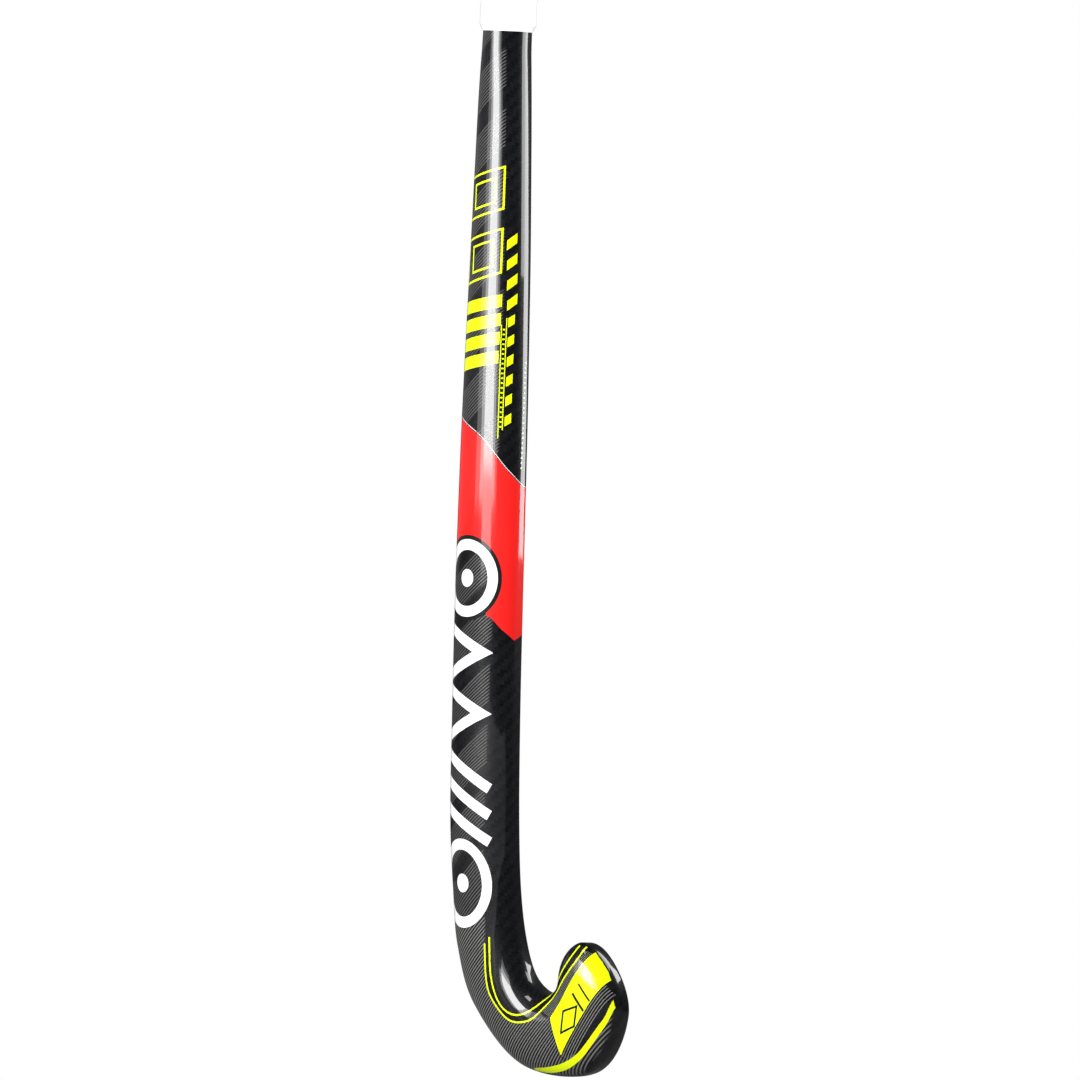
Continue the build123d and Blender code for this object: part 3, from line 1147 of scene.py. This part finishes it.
class Artwork:
    """Flat artwork in millimetres: (across, down) for a wrapped film, (x, height) for a pressed one."""

    def __init__(self) -> None:
        """Start with no shapes."""
        self.mesh = bmesh.new()

    def face(self, points: Sequence[Point]) -> None:
        """Add one filled shape with straight sides.

        Args:
            points: its corners in order.
        """
        corners = [self.mesh.verts.new((x, y, 0.0)) for x, y in points]
        self.mesh.faces.new(corners)

    def between(self, first: Sequence[Point], second: Sequence[Point]) -> None:
        """Fill the strip between two lines.

        Args:
            first: the points of one line.
            second: as many points of the other.
        """
        for index in range(len(first) - 1):
            self.face((first[index], first[index + 1], second[index + 1], second[index]))

    def stroke(self, points: Sequence[Point], width: float, closed: bool = False) -> None:
        """Draw a line of even width with mitred corners.

        Args:
            points: the line's points.
            width: its width.
            closed: whether it returns to its start.
        """
        path = np.array(points, dtype=float)
        if closed:
            path = np.concatenate([path[-1:], path, path[:1]])
        ways = np.diff(path, axis=0)
        ways /= np.linalg.norm(ways, axis=1)[:, None]
        before = np.concatenate([ways[:1], ways])
        after = np.concatenate([ways, ways[-1:]])
        sides = np.stack([-(before + after)[:, 1], (before + after)[:, 0]], 1)
        sides /= np.linalg.norm(sides, axis=1)[:, None]
        flats = np.stack([-after[:, 1], after[:, 0]], 1)
        reach = width / 2 / np.maximum(np.sum(sides * flats, axis=1), MITRE_LIMIT)
        left, right = path + sides * reach[:, None], path - sides * reach[:, None]
        chosen = slice(1, None) if closed else slice(None)
        left, right = left[chosen].tolist(), right[chosen].tolist()
        if closed:
            left[-1], right[-1] = left[0], right[0]
        self.between(left, right)

    def arc(self, centre: Point, radii: Point, turns: Point, width: float, steps: int) -> None:
        """Draw part of an oval ring.

        Args:
            centre: the oval's centre.
            radii: its two radii, to the middle of the ring.
            turns: the first and last angle in degrees.
            width: the ring's width.
            steps: how many straight pieces it is drawn with.
        """
        angles = np.radians(np.linspace(*turns, steps + 1))
        ring = [
            [
                (centre[0] + (radii[0] + way * width / 2) * math.cos(angle),
                 centre[1] + (radii[1] + way * width / 2) * math.sin(angle))
                for angle in angles
            ]
            for way in (-1, 1)
        ]
        self.between(ring[0], ring[1])

    def slice(self, spacing: Point) -> None:
        """Cut the shapes along evenly spaced lines both ways, so that they can bend.

        Args:
            spacing: the gap between the lines each way.
        """
        for axis in (0, 1):
            values = [vertex.co[axis] for vertex in self.mesh.verts]
            low, high = min(values), max(values)
            line = math.floor(low / spacing[axis]) * spacing[axis] + spacing[axis]
            normal = Vector((1 - axis, axis, 0))
            while line < high:
                everything = self.mesh.verts[:] + self.mesh.edges[:] + self.mesh.faces[:]
                bmesh.ops.bisect_plane(
                    self.mesh, geom=everything, dist=CUT_TOLERANCE, plane_co=normal * line,
                    plane_no=normal,
                )
                line += spacing[axis]

    def flat(self, name: str, kind: FilmKind, spacing: Point) -> bpy.types.Object:
        """Make the artwork into a flat object, placed ready for its film tree.

        Args:
            name: the piece's name.
            kind: how the film goes onto the stick.
            spacing: how closely the artwork is sliced.

        Returns:
            The flat object.
        """
        self.slice(spacing)
        bmesh.ops.remove_doubles(self.mesh, verts=self.mesh.verts, dist=MERGE_GAP)
        for vertex in self.mesh.verts:
            x, y = vertex.co.x, vertex.co.y
            if kind is FilmKind.WRAPPED:
                vertex.co = Vector((x, y, 0.0)) * MM
            else:
                vertex.co = Vector((x * MM, BEHIND_STICK, (y - ORIGIN_HEIGHT) * MM))
        mesh = bpy.data.meshes.new(name)
        self.mesh.to_mesh(mesh)
        self.mesh.free()
        return new_object(name, mesh)


@dataclass(frozen=True)
class Film:
    """One printed film: its artwork, its ink, and how it repeats."""

    name: str
    ink: str
    draw: Callable[[Artwork], None]
    kind: FilmKind = FilmKind.WRAPPED
    count: int = 1
    step: Point = (0.0, 0.0)
    lift: float = 0.04
    spacing: Point = (1.5, 5.0)


class FilmPress:
    """Lays films onto the skin."""

    def __init__(self, plan: Skin, skin: bpy.types.Object) -> None:
        """Keep the skin that films are laid onto and make the two trees.

        Args:
            plan: the skin's rings and map.
            skin: the skin's object.
        """
        self.plan = plan
        self.skin = skin
        self.trees = {
            FilmKind.WRAPPED: film_tree("Wrapped film", projected=False),
            FilmKind.PRESSED: film_tree("Pressed film", projected=True),
        }

    def lay(self, film: Film) -> bpy.types.Object:
        """Args:
            film: the film to lay.

        Returns:
            The film's object.
        """
        art = Artwork()
        film.draw(art)
        piece = art.flat(film.name, film.kind, film.spacing)
        if film.kind is FilmKind.WRAPPED:
            self.hold_inside(piece)
        right, along = film.step[0] * MM, film.step[1] * MM
        step = (right, along, 0.0) if film.kind is FilmKind.WRAPPED else (right, 0.0, along)
        run_nodes(piece, self.trees[film.kind], {
            "Skin": self.skin, "Count": film.count, "Step": step,
            "Lift": film.lift * MM, "Material": MATERIALS[film.ink],
        })
        self.turn_outward(piece)
        smooth(piece)
        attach(piece, BODY)
        return piece

    def hold_inside(self, piece: bpy.types.Object, margin: float = 0.01) -> None:
        """Keep flat artwork from reaching past the map's seam in the middle of the face.

        Args:
            piece: the flat artwork.
            margin: how far inside the seam it is kept, in millimetres.
        """
        limits = np.array(self.plan.across)[:, -1]
        for vertex in piece.data.vertices:
            half = (np.interp(vertex.co.y / MM, self.plan.down, limits) - margin) * MM
            vertex.co.x = min(max(vertex.co.x, -half), half)

    def turn_outward(self, piece: bpy.types.Object) -> None:
        """Turn the film's faces to look away from the skin.

        Args:
            piece: the film.
        """
        mesh = bmesh.new()
        mesh.from_mesh(piece.data)
        mesh.normal_update()
        for face in mesh.faces:
            hit, _, normal, _ = self.skin.closest_point_on_mesh(face.calc_center_median())
            if hit and face.normal.dot(normal) < 0:
                face.normal_flip()
        mesh.to_mesh(piece.data)
        mesh.free()


# --------------------------------------------------------------------------- the prints


@dataclass(frozen=True)
class PrintSizes:
    """Sizes of the printed decoration, in millimetres on the wrap map unless said otherwise."""

    big_dash: tuple[Point, ...] = ((15.0, 124.8), (21.2, 120.0), (21.2, 126.0), (15.0, 130.8))
    big_dashes: int = 4
    big_step: Point = (0.5, 12.0)
    small_dash: tuple[Point, ...] = ((17.6, 171.0), (21.5, 168.5), (21.5, 174.2), (17.6, 176.7))
    small_dashes: int = 6
    small_step: Point = (0.0, 11.8)
    outline: float = 1.25
    white_stroke: float = 6.4
    fine_outline: float = 0.6
    ring_centre: Point = (-5.0, 327.0)
    ring_outline: Point = (24.0, 25.5)
    ring_border: float = 2.4
    ring: Point = (18.6, 20.0)
    ring_dot: Point = (2.6, 2.8)
    low_ring_centre: Point = (-6.5, 509.0)
    low_ring: Point = (18.2, 23.0)
    low_ring_dot: Point = (2.6, 3.0)
    dot_stroke: float = 5.0
    ring_steps: int = 72
    dot_steps: int = 40
    seam: float = 60.5
    red_column: float = 0.5
    red_resumes: float = 9.5
    red_edge: float = 0.35
    red_edge_gap: float = 0.9
    hook_line: float = 1.1
    ring_border_inset: float = 1.0
    panel_rows: tuple[Point, ...] = ((81.0, 114.0), (118.0, 152.0))
    panel_inset: float = 7.0
    outer_panel: tuple[float, float, float] = (-15.5, 12.0, 8.0)
    inner_panel: tuple[float, float, float] = (-9.5, 6.5, 4.6)
    red_top: tuple[Point, ...] = (
        (-60.5, 246.0), (-45.0, 228.0), (-30.0, 226.0), (-15.1, 233.0), (2.8, 243.0), (12.6, 253.0),
        (21.4, 263.0), (34.0, 272.0), (46.0, 268.0), (60.5, 246.0),
    )
    red_bottom: tuple[Point, ...] = (
        (-60.5, 338.0), (-29.0, 327.0), (10.0, 349.0), (13.0, 350.0), (20.0, 357.0), (28.0, 363.0),
        (34.0, 360.0), (60.5, 338.0),
    )


PRINT = PrintSizes()


def red_band(art: Artwork) -> None:
    """Draw the red band that goes right round, cut away round the first white ring.

    Args:
        art: the artwork to draw on.
    """
    top, bottom = rounded(PRINT.red_top), np.array(PRINT.red_bottom)
    (middle, level), (half_width, half_height) = PRINT.ring_centre, PRINT.ring_outline
    columns = np.arange(-PRINT.seam, PRINT.seam + PRINT.red_column / 5, PRINT.red_column)
    upper = np.interp(columns, top[:, 0], top[:, 1])
    lower = np.interp(columns, bottom[:, 0], bottom[:, 1])
    reach = np.clip(1 - ((columns - middle) / half_width) ** 2, 0, 1)
    cut_top = level - half_height * np.sqrt(reach)
    cut_bottom = level + half_height * np.sqrt(reach)
    meets = reach > 0
    first = np.where(meets, cut_top, lower)
    art.between(list(zip(columns, upper)), list(zip(columns, first)))
    rest = meets & (columns > PRINT.red_resumes)
    start = np.where(rest, np.minimum(cut_bottom, lower), lower)
    art.between(list(zip(columns[rest], start[rest])), list(zip(columns[rest], lower[rest])))
    last = columns >= columns[rest][-1]
    after = columns[last][:2]
    art.face((
        (after[0], start[rest][-1]), (after[1], level), (after[1], np.interp(after[1], *bottom.T)),
        (after[0], lower[rest][-1]),
    ))


def red_edge(art: Artwork) -> None:
    """Draw the thin pale line above the red band.

    Args:
        art: the artwork to draw on.
    """
    top = rounded(PRINT.red_top)
    columns = np.arange(-PRINT.seam, PRINT.seam + PRINT.red_column / 5, 2 * PRINT.red_column)
    heights = np.interp(columns, top[:, 0], top[:, 1]) - PRINT.red_edge_gap
    art.stroke(list(zip(columns, heights)), PRINT.red_edge)


def ring_border(art: Artwork) -> None:
    """Draw the black border round the first ring.

    Args:
        art: the artwork to draw on.
    """
    inset = PRINT.ring_border_inset
    radii = (PRINT.ring_outline[0] - inset, PRINT.ring_outline[1] - inset)
    art.arc(PRINT.ring_centre, radii, (0, 360), PRINT.ring_border, PRINT.ring_steps)


def white_rings(art: Artwork) -> None:
    """Draw the two large white rings, each round a heavy dot.

    Args:
        art: the artwork to draw on.
    """
    for centre, ring, dot in (
        (PRINT.ring_centre, PRINT.ring, PRINT.ring_dot),
        (PRINT.low_ring_centre, PRINT.low_ring, PRINT.low_ring_dot),
    ):
        art.arc(centre, ring, (0, 360), PRINT.white_stroke, PRINT.ring_steps)
        art.arc(centre, dot, (0, 360), PRINT.dot_stroke, PRINT.dot_steps)


def slanted(low: float, high: float, left: float, right: float, slant: float) -> list[Point]:
    """List the corners of a box whose left side hangs lower.

    Args:
        low: where the right side starts down the stick.
        high: where the left side ends down the stick.
        left: the left side, across the stick.
        right: the right side, across the stick.
        slant: how much lower the left side hangs.

    Returns:
        The four corners in order.
    """
    return [(left, low + slant), (right, low), (right, high - slant), (left, high)]


def outlined_panels(art: Artwork) -> None:
    """Draw the two outlined slanted panels, each with an inner panel.

    Args:
        art: the artwork to draw on.
    """
    inset = PRINT.panel_inset
    for low, high in PRINT.panel_rows:
        outer = slanted(low, high, *PRINT.outer_panel)
        inner = slanted(low + inset, high - inset, *PRINT.inner_panel)
        art.stroke(outer, PRINT.outline, closed=True)
        art.stroke(inner, PRINT.outline, closed=True)


def thin_rules(art: Artwork) -> None:
    """Draw the two thin yellow rules.

    Args:
        art: the artwork to draw on.
    """
    art.stroke([(13.6, 175.0), (13.9, 243.0)], PRINT.fine_outline)
    art.stroke([(16.7, 171.0), (16.4, 238.0)], PRINT.fine_outline)


def second_stripe(art: Artwork) -> None:
    """Draw the curved yellow stripe along the bottom of the head, in (x, height).

    Args:
        art: the artwork to draw on.
    """
    upper = (
        (105.4, 48.1), (103.2, 41.6), (99.5, 34.9), (84.6, 17.1), (71.8, 9.2), (56.9, 5.3), (44.0, 4.1),
    )
    lower = (
        (106.4, 43.4), (103.0, 35.6), (98.1, 28.1), (85.3, 13.2), (71.9, 5.1), (56.8, 1.9), (44.1, 2.4),
    )
    art.between(rounded(upper), rounded(lower))


def hook_lines(art: Artwork) -> None:
    """Draw the double yellow line that follows the hook.

    Args:
        art: the artwork to draw on.
    """
    for outline in (HOOK_OUTER, HOOK_INNER):
        art.stroke(rounded(outline, 3), PRINT.hook_line)


def toe_marks(art: Artwork) -> None:
    """Draw the dark marks on the toe's patch: an outlined diamond and two slashes.

    Args:
        art: the artwork to draw on.
    """
    art.stroke([(73.0, 39.5), (83.5, 43.0), (81.5, 31.0), (71.5, 26.5)], 1.3, closed=True)
    art.stroke([(80.2, 50.5), (88.5, 40.5)], 1.6)
    art.stroke([(84.6, 56.5), (92.9, 46.5)], 1.2)


def shape(*corners: Point) -> Callable[[Artwork], None]:
    """Make a drawing of one filled shape.

    Args:
        corners: the shape's corners in order.

    Returns:
        A function that draws it.
    """
    return lambda art: art.face(corners)


def line(width: float, *points: Point) -> Callable[[Artwork], None]:
    """Make a drawing of one line.

    Args:
        width: the line's width.
        points: its points.

    Returns:
        A function that draws it.
    """
    return lambda art: art.stroke(points, width)


PRESSED = FilmKind.PRESSED
FILMS = (
    Film("red_band", "red_ink", red_band, lift=0.03, spacing=(2.0, 4.0)),
    Film("red_band_edge", "white_ink", red_edge, lift=0.05),
    Film("ring_border", "black_ink", ring_border, lift=0.045),
    Film("white_rings", "white_ink", white_rings, lift=0.06),
    Film("white_chevrons", "white_ink",
         line(PRINT.white_stroke, (-22.0, 356.0), (8.0, 371.0), (-22.0, 386.0)),
         count=2, step=(0.0, 36.5), lift=0.06),
    Film("white_slashes", "white_ink", line(PRINT.white_stroke, (-24.0, 430.0), (14.5, 452.0)),
         count=3, step=(0.0, 16.0), lift=0.06),
    Film("outlined_panels", "yellow_ink", outlined_panels),
    Film("solid_bars", "yellow_ink", lambda art: art.face(slanted(157.0, 171.0, -19.0, 13.4, 6.5)),
         count=4, step=(-0.3, 11.2)),
    Film("big_dashes", "yellow_ink", shape(*PRINT.big_dash), count=PRINT.big_dashes,
         step=PRINT.big_step),
    Film("small_dashes", "yellow_ink", shape(*PRINT.small_dash), count=PRINT.small_dashes,
         step=PRINT.small_step),
    Film("thin_rules", "yellow_ink", thin_rules),
    Film("rule_ticks", "yellow_ink", line(0.9, (14.5, 178.0), (15.9, 178.0)), count=21,
         step=(0.0, 2.9)),
    Film("side_ticks", "pale_ink", line(1.0, (30.4, 197.0), (31.8, 197.0)), count=22,
         step=(-0.05, 3.0)),
    Film("hook_lines", "yellow_ink", hook_lines, PRESSED, lift=0.06, spacing=(1.5, 1.5)),
    Film("toe_patch", "yellow_ink", shape(*TOE_PATCH), PRESSED, lift=0.10, spacing=(1.0, 1.0)),
    Film("toe_marks", "black_ink", toe_marks, PRESSED, lift=0.20, spacing=(1.0, 1.0)),
    Film("toe_stripe", "yellow_ink", second_stripe, PRESSED, lift=0.07, spacing=(1.5, 1.5)),
    Film("upper_fine_lines", "grey_ink", line(0.4, (55.6, 37.9), (72.1, 56.5), (87.2, 75.8)), PRESSED,
         count=6, step=(1.15, -0.45), lift=0.045, spacing=(1.5, 1.5)),
    Film("lower_fine_lines", "grey_ink", line(0.45, (101.6, 56.3), (71.1, 12.5)), PRESSED,
         count=5, step=(1.0, -1.25), lift=0.045, spacing=(1.5, 1.5)),
)


# --------------------------------------------------------------------------- grip


@dataclass(frozen=True)
class GripSizes:
    """Sizes of the wound grip, in millimetres."""

    radius: float = 17.0
    pressed_radius: float = 16.68
    pressed_below: float = 646.5
    inner_radius: float = 14.95
    press_blend: float = 1.5
    edge_step: float = 0.55
    end_taper: float = 1.0
    pitch: float = 22.0
    spare_turns: int = 3
    around: int = 96
    sharp_angle: float = 50.0
    tape_rows: tuple[float, ...] = (0.0, 0.03, 0.07, 0.14, 0.25, 0.4, 0.55, 0.7, 0.85, 0.95)
    tape_profile: tuple[float, ...] = (1.0, 0.35, 0.08, 0.0, 0.05, 0.15, 0.3, 0.48, 0.7, 0.88)


class Grip:
    """The cushion tape wound round the handle from the butt down."""

    def __init__(self, sizes: GripSizes = GripSizes()) -> None:
        """Keep the sizes and find the grip's ends.

        Args:
            sizes: the grip's sizes.
        """
        self.sizes = sizes
        low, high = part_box("grip_tape")
        self.bottom = low.z / MM + ORIGIN_HEIGHT
        self.top = high.z / MM + ORIGIN_HEIGHT
        self.turns = int((self.top - self.bottom) / sizes.pitch) + sizes.spare_turns

    def surface_point(self, turn: int, share: float, dip: float, angle: float) -> tuple[float, ...]:
        """Place one point of the tape's outer surface.

        Args:
            turn: which turn of the tape it is on.
            share: how far across the tape it is.
            dip: how far below the tape's crown it lies, as a share of the edge's step.
            angle: how far round the handle it is, from 0 to 1.

        Returns:
            x, y and height in millimetres.
        """
        sizes = self.sizes
        wound = self.bottom + (turn - 1 + share + angle) * sizes.pitch
        height = min(max(wound, self.bottom), self.top)
        ends = min(height - self.bottom, self.top - height)
        press = min(max((height - sizes.pressed_below) / sizes.press_blend, 0.0), 1.0)
        outer = sizes.pressed_radius + (sizes.radius - sizes.pressed_radius) * press
        radius = outer - dip * sizes.edge_step * min(ends / sizes.end_taper, 1.0)
        way = 2 * math.pi * angle
        return (radius * math.cos(way), radius * math.sin(way), height)

    def faces(self) -> list[tuple[int, ...]]:
        """Join the rows of points into a helix that goes on from turn to turn.

        Returns:
            The faces, as rows of point numbers.
        """
        around, rows = self.sizes.around, len(self.sizes.tape_rows)
        total = self.turns * rows
        faces = []
        for row in range(total - 1):
            for step in range(around):
                here = row * around + step
                if step < around - 1:
                    faces.append((here, here + 1, here + 1 + around, here + around))
                elif row + rows + 1 < total:
                    wrapped = (row + rows) * around
                    faces.append((here, wrapped, wrapped + around, here + around))
        return faces

    def build(self) -> bpy.types.Object:
        """Make the wound sleeve as one closed mesh.

        Returns:
            The grip's object.
        """
        sizes = self.sizes
        vertices, charts = [], []
        for turn in range(self.turns):
            for share, dip in zip(sizes.tape_rows, sizes.tape_profile):
                for step in range(sizes.around):
                    angle = step / sizes.around
                    vertices.append(self.surface_point(turn, share, dip, angle))
                    charts.append(((turn + angle) * 2 * math.pi * sizes.radius, share * sizes.pitch))
        mesh = bpy.data.meshes.new("cushion_grip")
        mesh.from_pydata(to_frame(np.array(vertices)).tolist(), [], self.faces())
        layer = mesh.uv_layers.new(name=WIND_MAP)
        points = np.zeros(len(mesh.loops), dtype=int)
        mesh.loops.foreach_get("vertex_index", points)
        layer.data.foreach_set("uv", (np.array(charts)[points] * MM).ravel())
        self.close(mesh)
        mesh.materials.append(MATERIALS["grip_cushion"])
        grip = smooth(new_object("cushion_grip", mesh))
        face_outward(grip)
        sharpen(grip, sizes.sharp_angle)
        return grip

    def close(self, mesh: bpy.types.Mesh) -> None:
        """Merge what was clamped at the ends and close the sleeve with its inner wall.

        Args:
            mesh: the sleeve's outer surface.
        """
        same_point, no_length, no_area = 1e-6, 1e-7, 1e-13
        sleeve = bmesh.new()
        sleeve.from_mesh(mesh)
        bmesh.ops.remove_doubles(sleeve, verts=sleeve.verts, dist=same_point)
        bmesh.ops.dissolve_degenerate(sleeve, edges=sleeve.edges, dist=no_length)
        flat = [face for face in sleeve.faces if face.calc_area() < no_area]
        bmesh.ops.delete(sleeve, geom=flat, context="FACES")
        loose = [vertex for vertex in sleeve.verts if not vertex.link_faces]
        bmesh.ops.delete(sleeve, geom=loose, context="VERTS")
        open_edges = [edge for edge in sleeve.edges if edge.is_boundary]
        grown = bmesh.ops.extrude_edge_only(sleeve, edges=open_edges)["geom"]
        for item in grown:
            if isinstance(item, bmesh.types.BMVert):
                scale = self.sizes.inner_radius * MM / item.co.xy.length
                item.co.x *= scale
                item.co.y *= scale
        inner = [item for item in grown if isinstance(item, bmesh.types.BMEdge)]
        bmesh.ops.bridge_loops(sleeve, edges=inner)
        sleeve.to_mesh(mesh)
        sleeve.free()


# --------------------------------------------------------------------------- the studio


@dataclass(frozen=True)
class Panel:
    """One softbox: where it stands round the stick, its size and its brightness.

    Angles are degrees to the camera's left, and heights and the distance are metres in the frame.
    """

    name: str
    first_angle: float
    last_angle: float
    bottom: float
    top: float
    radiance: float
    distance: float = 2.2
    reflects: bool = True


@dataclass(frozen=True)
class Studio:
    """The camera, the lights and the floor."""

    azimuth: float = 40.0
    target: tuple[float, float, float] = (0.0264, 0.0221, -0.4537)
    distance: float = 9.676
    lens: float = 540.0
    sensor: float = 36.0
    roll_sine: float = 0.0498
    clip_end: float = 100.0
    world_strength: float = 0.07
    floor_gap: float = 0.0006
    floor_half: float = 3.0
    floor_tone: float = 0.25
    panels: tuple[Panel, ...] = (
        Panel("key_near_edge", 27.0, 34.0, -0.53, 0.0, 2.5),
        Panel("key_near", 34.0, 41.0, -0.53, 0.0, 8.0),
        Panel("key_middle", 41.0, 66.0, -0.50, 0.0, 19.0),
        Panel("key_foot", 41.0, 66.0, -0.60, -0.50, 5.0),
        Panel("key_far", 66.0, 73.0, -0.53, 0.0, 8.0),
        Panel("key_far_edge", 73.0, 81.0, -0.53, 0.0, 2.5),
        Panel("heel_side", 81.0, 150.0, -0.53, 0.0, 0.2),
        Panel("top_glint", 45.0, 62.0, 0.5, 1.1, 8.0, 1.5),
        Panel("rim_panel", -110.0, -95.0, -0.46, 0.32, 9.0, 0.55),
        Panel("rim_near", -95.0, -76.0, -0.27, 0.30, 6.0, 0.55),
        Panel("matte_fill", -35.0, 60.0, -0.9, 0.5, 4.6, 2.3, False),
    )

    def toward(self, degrees: float) -> Vector:
        """Find a level direction from the stick.

        Args:
            degrees: its angle to the camera's left.

        Returns:
            The direction, one unit long.
        """
        angle = math.radians(self.azimuth)
        camera_way = Vector((math.sin(angle), -math.cos(angle), 0.0))
        left = Vector((-math.cos(angle), -math.sin(angle), 0.0))
        turn = math.radians(degrees)
        return camera_way * math.cos(turn) + left * math.sin(turn)

    def build(self) -> None:
        """Make the camera, the world, the panels and the floor."""
        self.make_camera()
        self.make_world()
        for panel in self.panels:
            self.make_panel(panel)
        self.make_floor()
        bpy.context.scene.view_settings.view_transform = "Standard"

    def make_camera(self) -> None:
        """Place the camera level with the stick and rolled a little."""
        data = bpy.data.cameras.new("camera")
        data.lens = self.lens
        data.sensor_width = self.sensor
        data.dof.use_dof = False
        data.clip_end = self.clip_end
        camera = bpy.data.objects.new("camera", data)
        bpy.context.scene.collection.objects.link(camera)
        back = self.toward(0.0)
        right = self.toward(-90.0)
        up = Vector((0.0, 0.0, 1.0))
        roll_cosine = math.sqrt(1 - self.roll_sine**2)
        side = right * roll_cosine + up * self.roll_sine
        top = up * roll_cosine - right * self.roll_sine
        turn = Matrix((side, top, back)).transposed().to_4x4()
        camera.matrix_world = Matrix.Translation(Vector(self.target) + back * self.distance) @ turn
        bpy.context.scene.camera = camera

    def make_world(self) -> None:
        """Make an even world that is white to the camera and dimmer to the stick."""
        world = bpy.data.worlds.new("studio_world")
        world.use_nodes = True
        world.node_tree.nodes.clear()
        nodes = NodeTree(world.node_tree)
        seen = nodes.add("ShaderNodeLightPath").outputs["Is Camera Ray"]
        strength = nodes.math("MULTIPLY_ADD", seen, 1.0 - self.world_strength, self.world_strength)
        glow = nodes.add("ShaderNodeBackground", {"Color": opaque(WHITE), "Strength": strength})
        output = nodes.add("ShaderNodeOutputWorld")
        nodes.feed(output.inputs["Surface"], glow.outputs[0])
        bpy.context.scene.world = world

    def make_panel(self, panel: Panel) -> None:
        """Make one softbox as a rectangular light that faces the stick.

        Args:
            panel: the softbox.
        """
        spread = math.radians(panel.last_angle - panel.first_angle)
        width = 2 * panel.distance * math.tan(spread / 2)
        data = bpy.data.lights.new(panel.name, "AREA")
        data.shape = "RECTANGLE"
        data.size = width
        data.size_y = panel.top - panel.bottom
        data.energy = panel.radiance * math.pi * data.size * data.size_y
        light = bpy.data.objects.new(panel.name, data)
        bpy.context.scene.collection.objects.link(light)
        away = self.toward((panel.first_angle + panel.last_angle) / 2)
        light.location = away * panel.distance + Vector((0.0, 0.0, (panel.top + panel.bottom) / 2))
        light.rotation_mode = "QUATERNION"
        light.rotation_quaternion = (-away).to_track_quat("-Z", "Y")
        light.visible_camera = False
        light.visible_glossy = panel.reflects

    def make_floor(self) -> None:
        """Make the pale floor, which stays plain white to the camera."""
        material = bpy.data.materials.new("pale_floor")
        material.use_nodes = True
        material.node_tree.nodes.clear()
        nodes = NodeTree(material.node_tree)
        grey = (self.floor_tone, self.floor_tone, self.floor_tone)
        matte = nodes.add("ShaderNodeBsdfDiffuse", {"Color": opaque(grey)})
        glow = nodes.add("ShaderNodeEmission", {"Color": opaque(WHITE), "Strength": 1.0})
        seen = nodes.add("ShaderNodeLightPath").outputs["Is Camera Ray"]
        both = nodes.add("ShaderNodeMixShader", {0: seen, 1: matte.outputs[0], 2: glow.outputs[0]})
        output = nodes.add("ShaderNodeOutputMaterial")
        nodes.feed(output.inputs["Surface"], both.outputs[0])
        half, level = self.floor_half, CAD_BOX[0].z - self.floor_gap
        mesh = bpy.data.meshes.new("floor")
        signs = ((-1, -1), (1, -1), (1, 1), (-1, 1))
        corners = [(across * half, deep * half, level) for across, deep in signs]
        mesh.from_pydata(corners, [], [(0, 1, 2, 3)])
        mesh.materials.append(material)
        new_object("floor", mesh)


# --------------------------------------------------------------------------- main


INNER_NODES = {
    "core_tube_toe_side": "inner_laminate", "core_tube_heel_side": "inner_laminate",
    "centre_web": "inner_laminate", "head_core": "core_foam", "face_ply": "inner_laminate",
    "handle_plug": "core_foam", "butt_cap": "cap_rubber", "grip_base_tape": "base_tape",
    "finishing_tape": "band_tape",
}


def finish_cad_node(name: str, slot_name: str) -> None:
    """Give a CAD node that is kept its material.

    Args:
        name: the node's name.
        slot_name: the record's slot.
    """
    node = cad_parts[name]
    if not node.material_slots:
        node.data.materials.append(MATERIALS[slot_name])
    for slot in node.material_slots:
        slot.material = MATERIALS[slot_name]


def main() -> None:
    """Build the stick and its studio."""
    logging.basicConfig(level=logging.INFO)
    plan = Skin(FORM)
    skin = plan.build()
    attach(skin, BODY)
    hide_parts("stick_shell")
    press = FilmPress(plan, skin)
    for film in FILMS:
        piece = press.lay(film)
        LOG.info("film %s: %d faces", piece.name, len(piece.data.polygons))
    grip = Grip().build()
    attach(grip, BODY)
    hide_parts("grip_tape")
    for node, slot_name in INNER_NODES.items():
        finish_cad_node(node, slot_name)
    Studio().build()


if __name__ == "__main__":
    main()
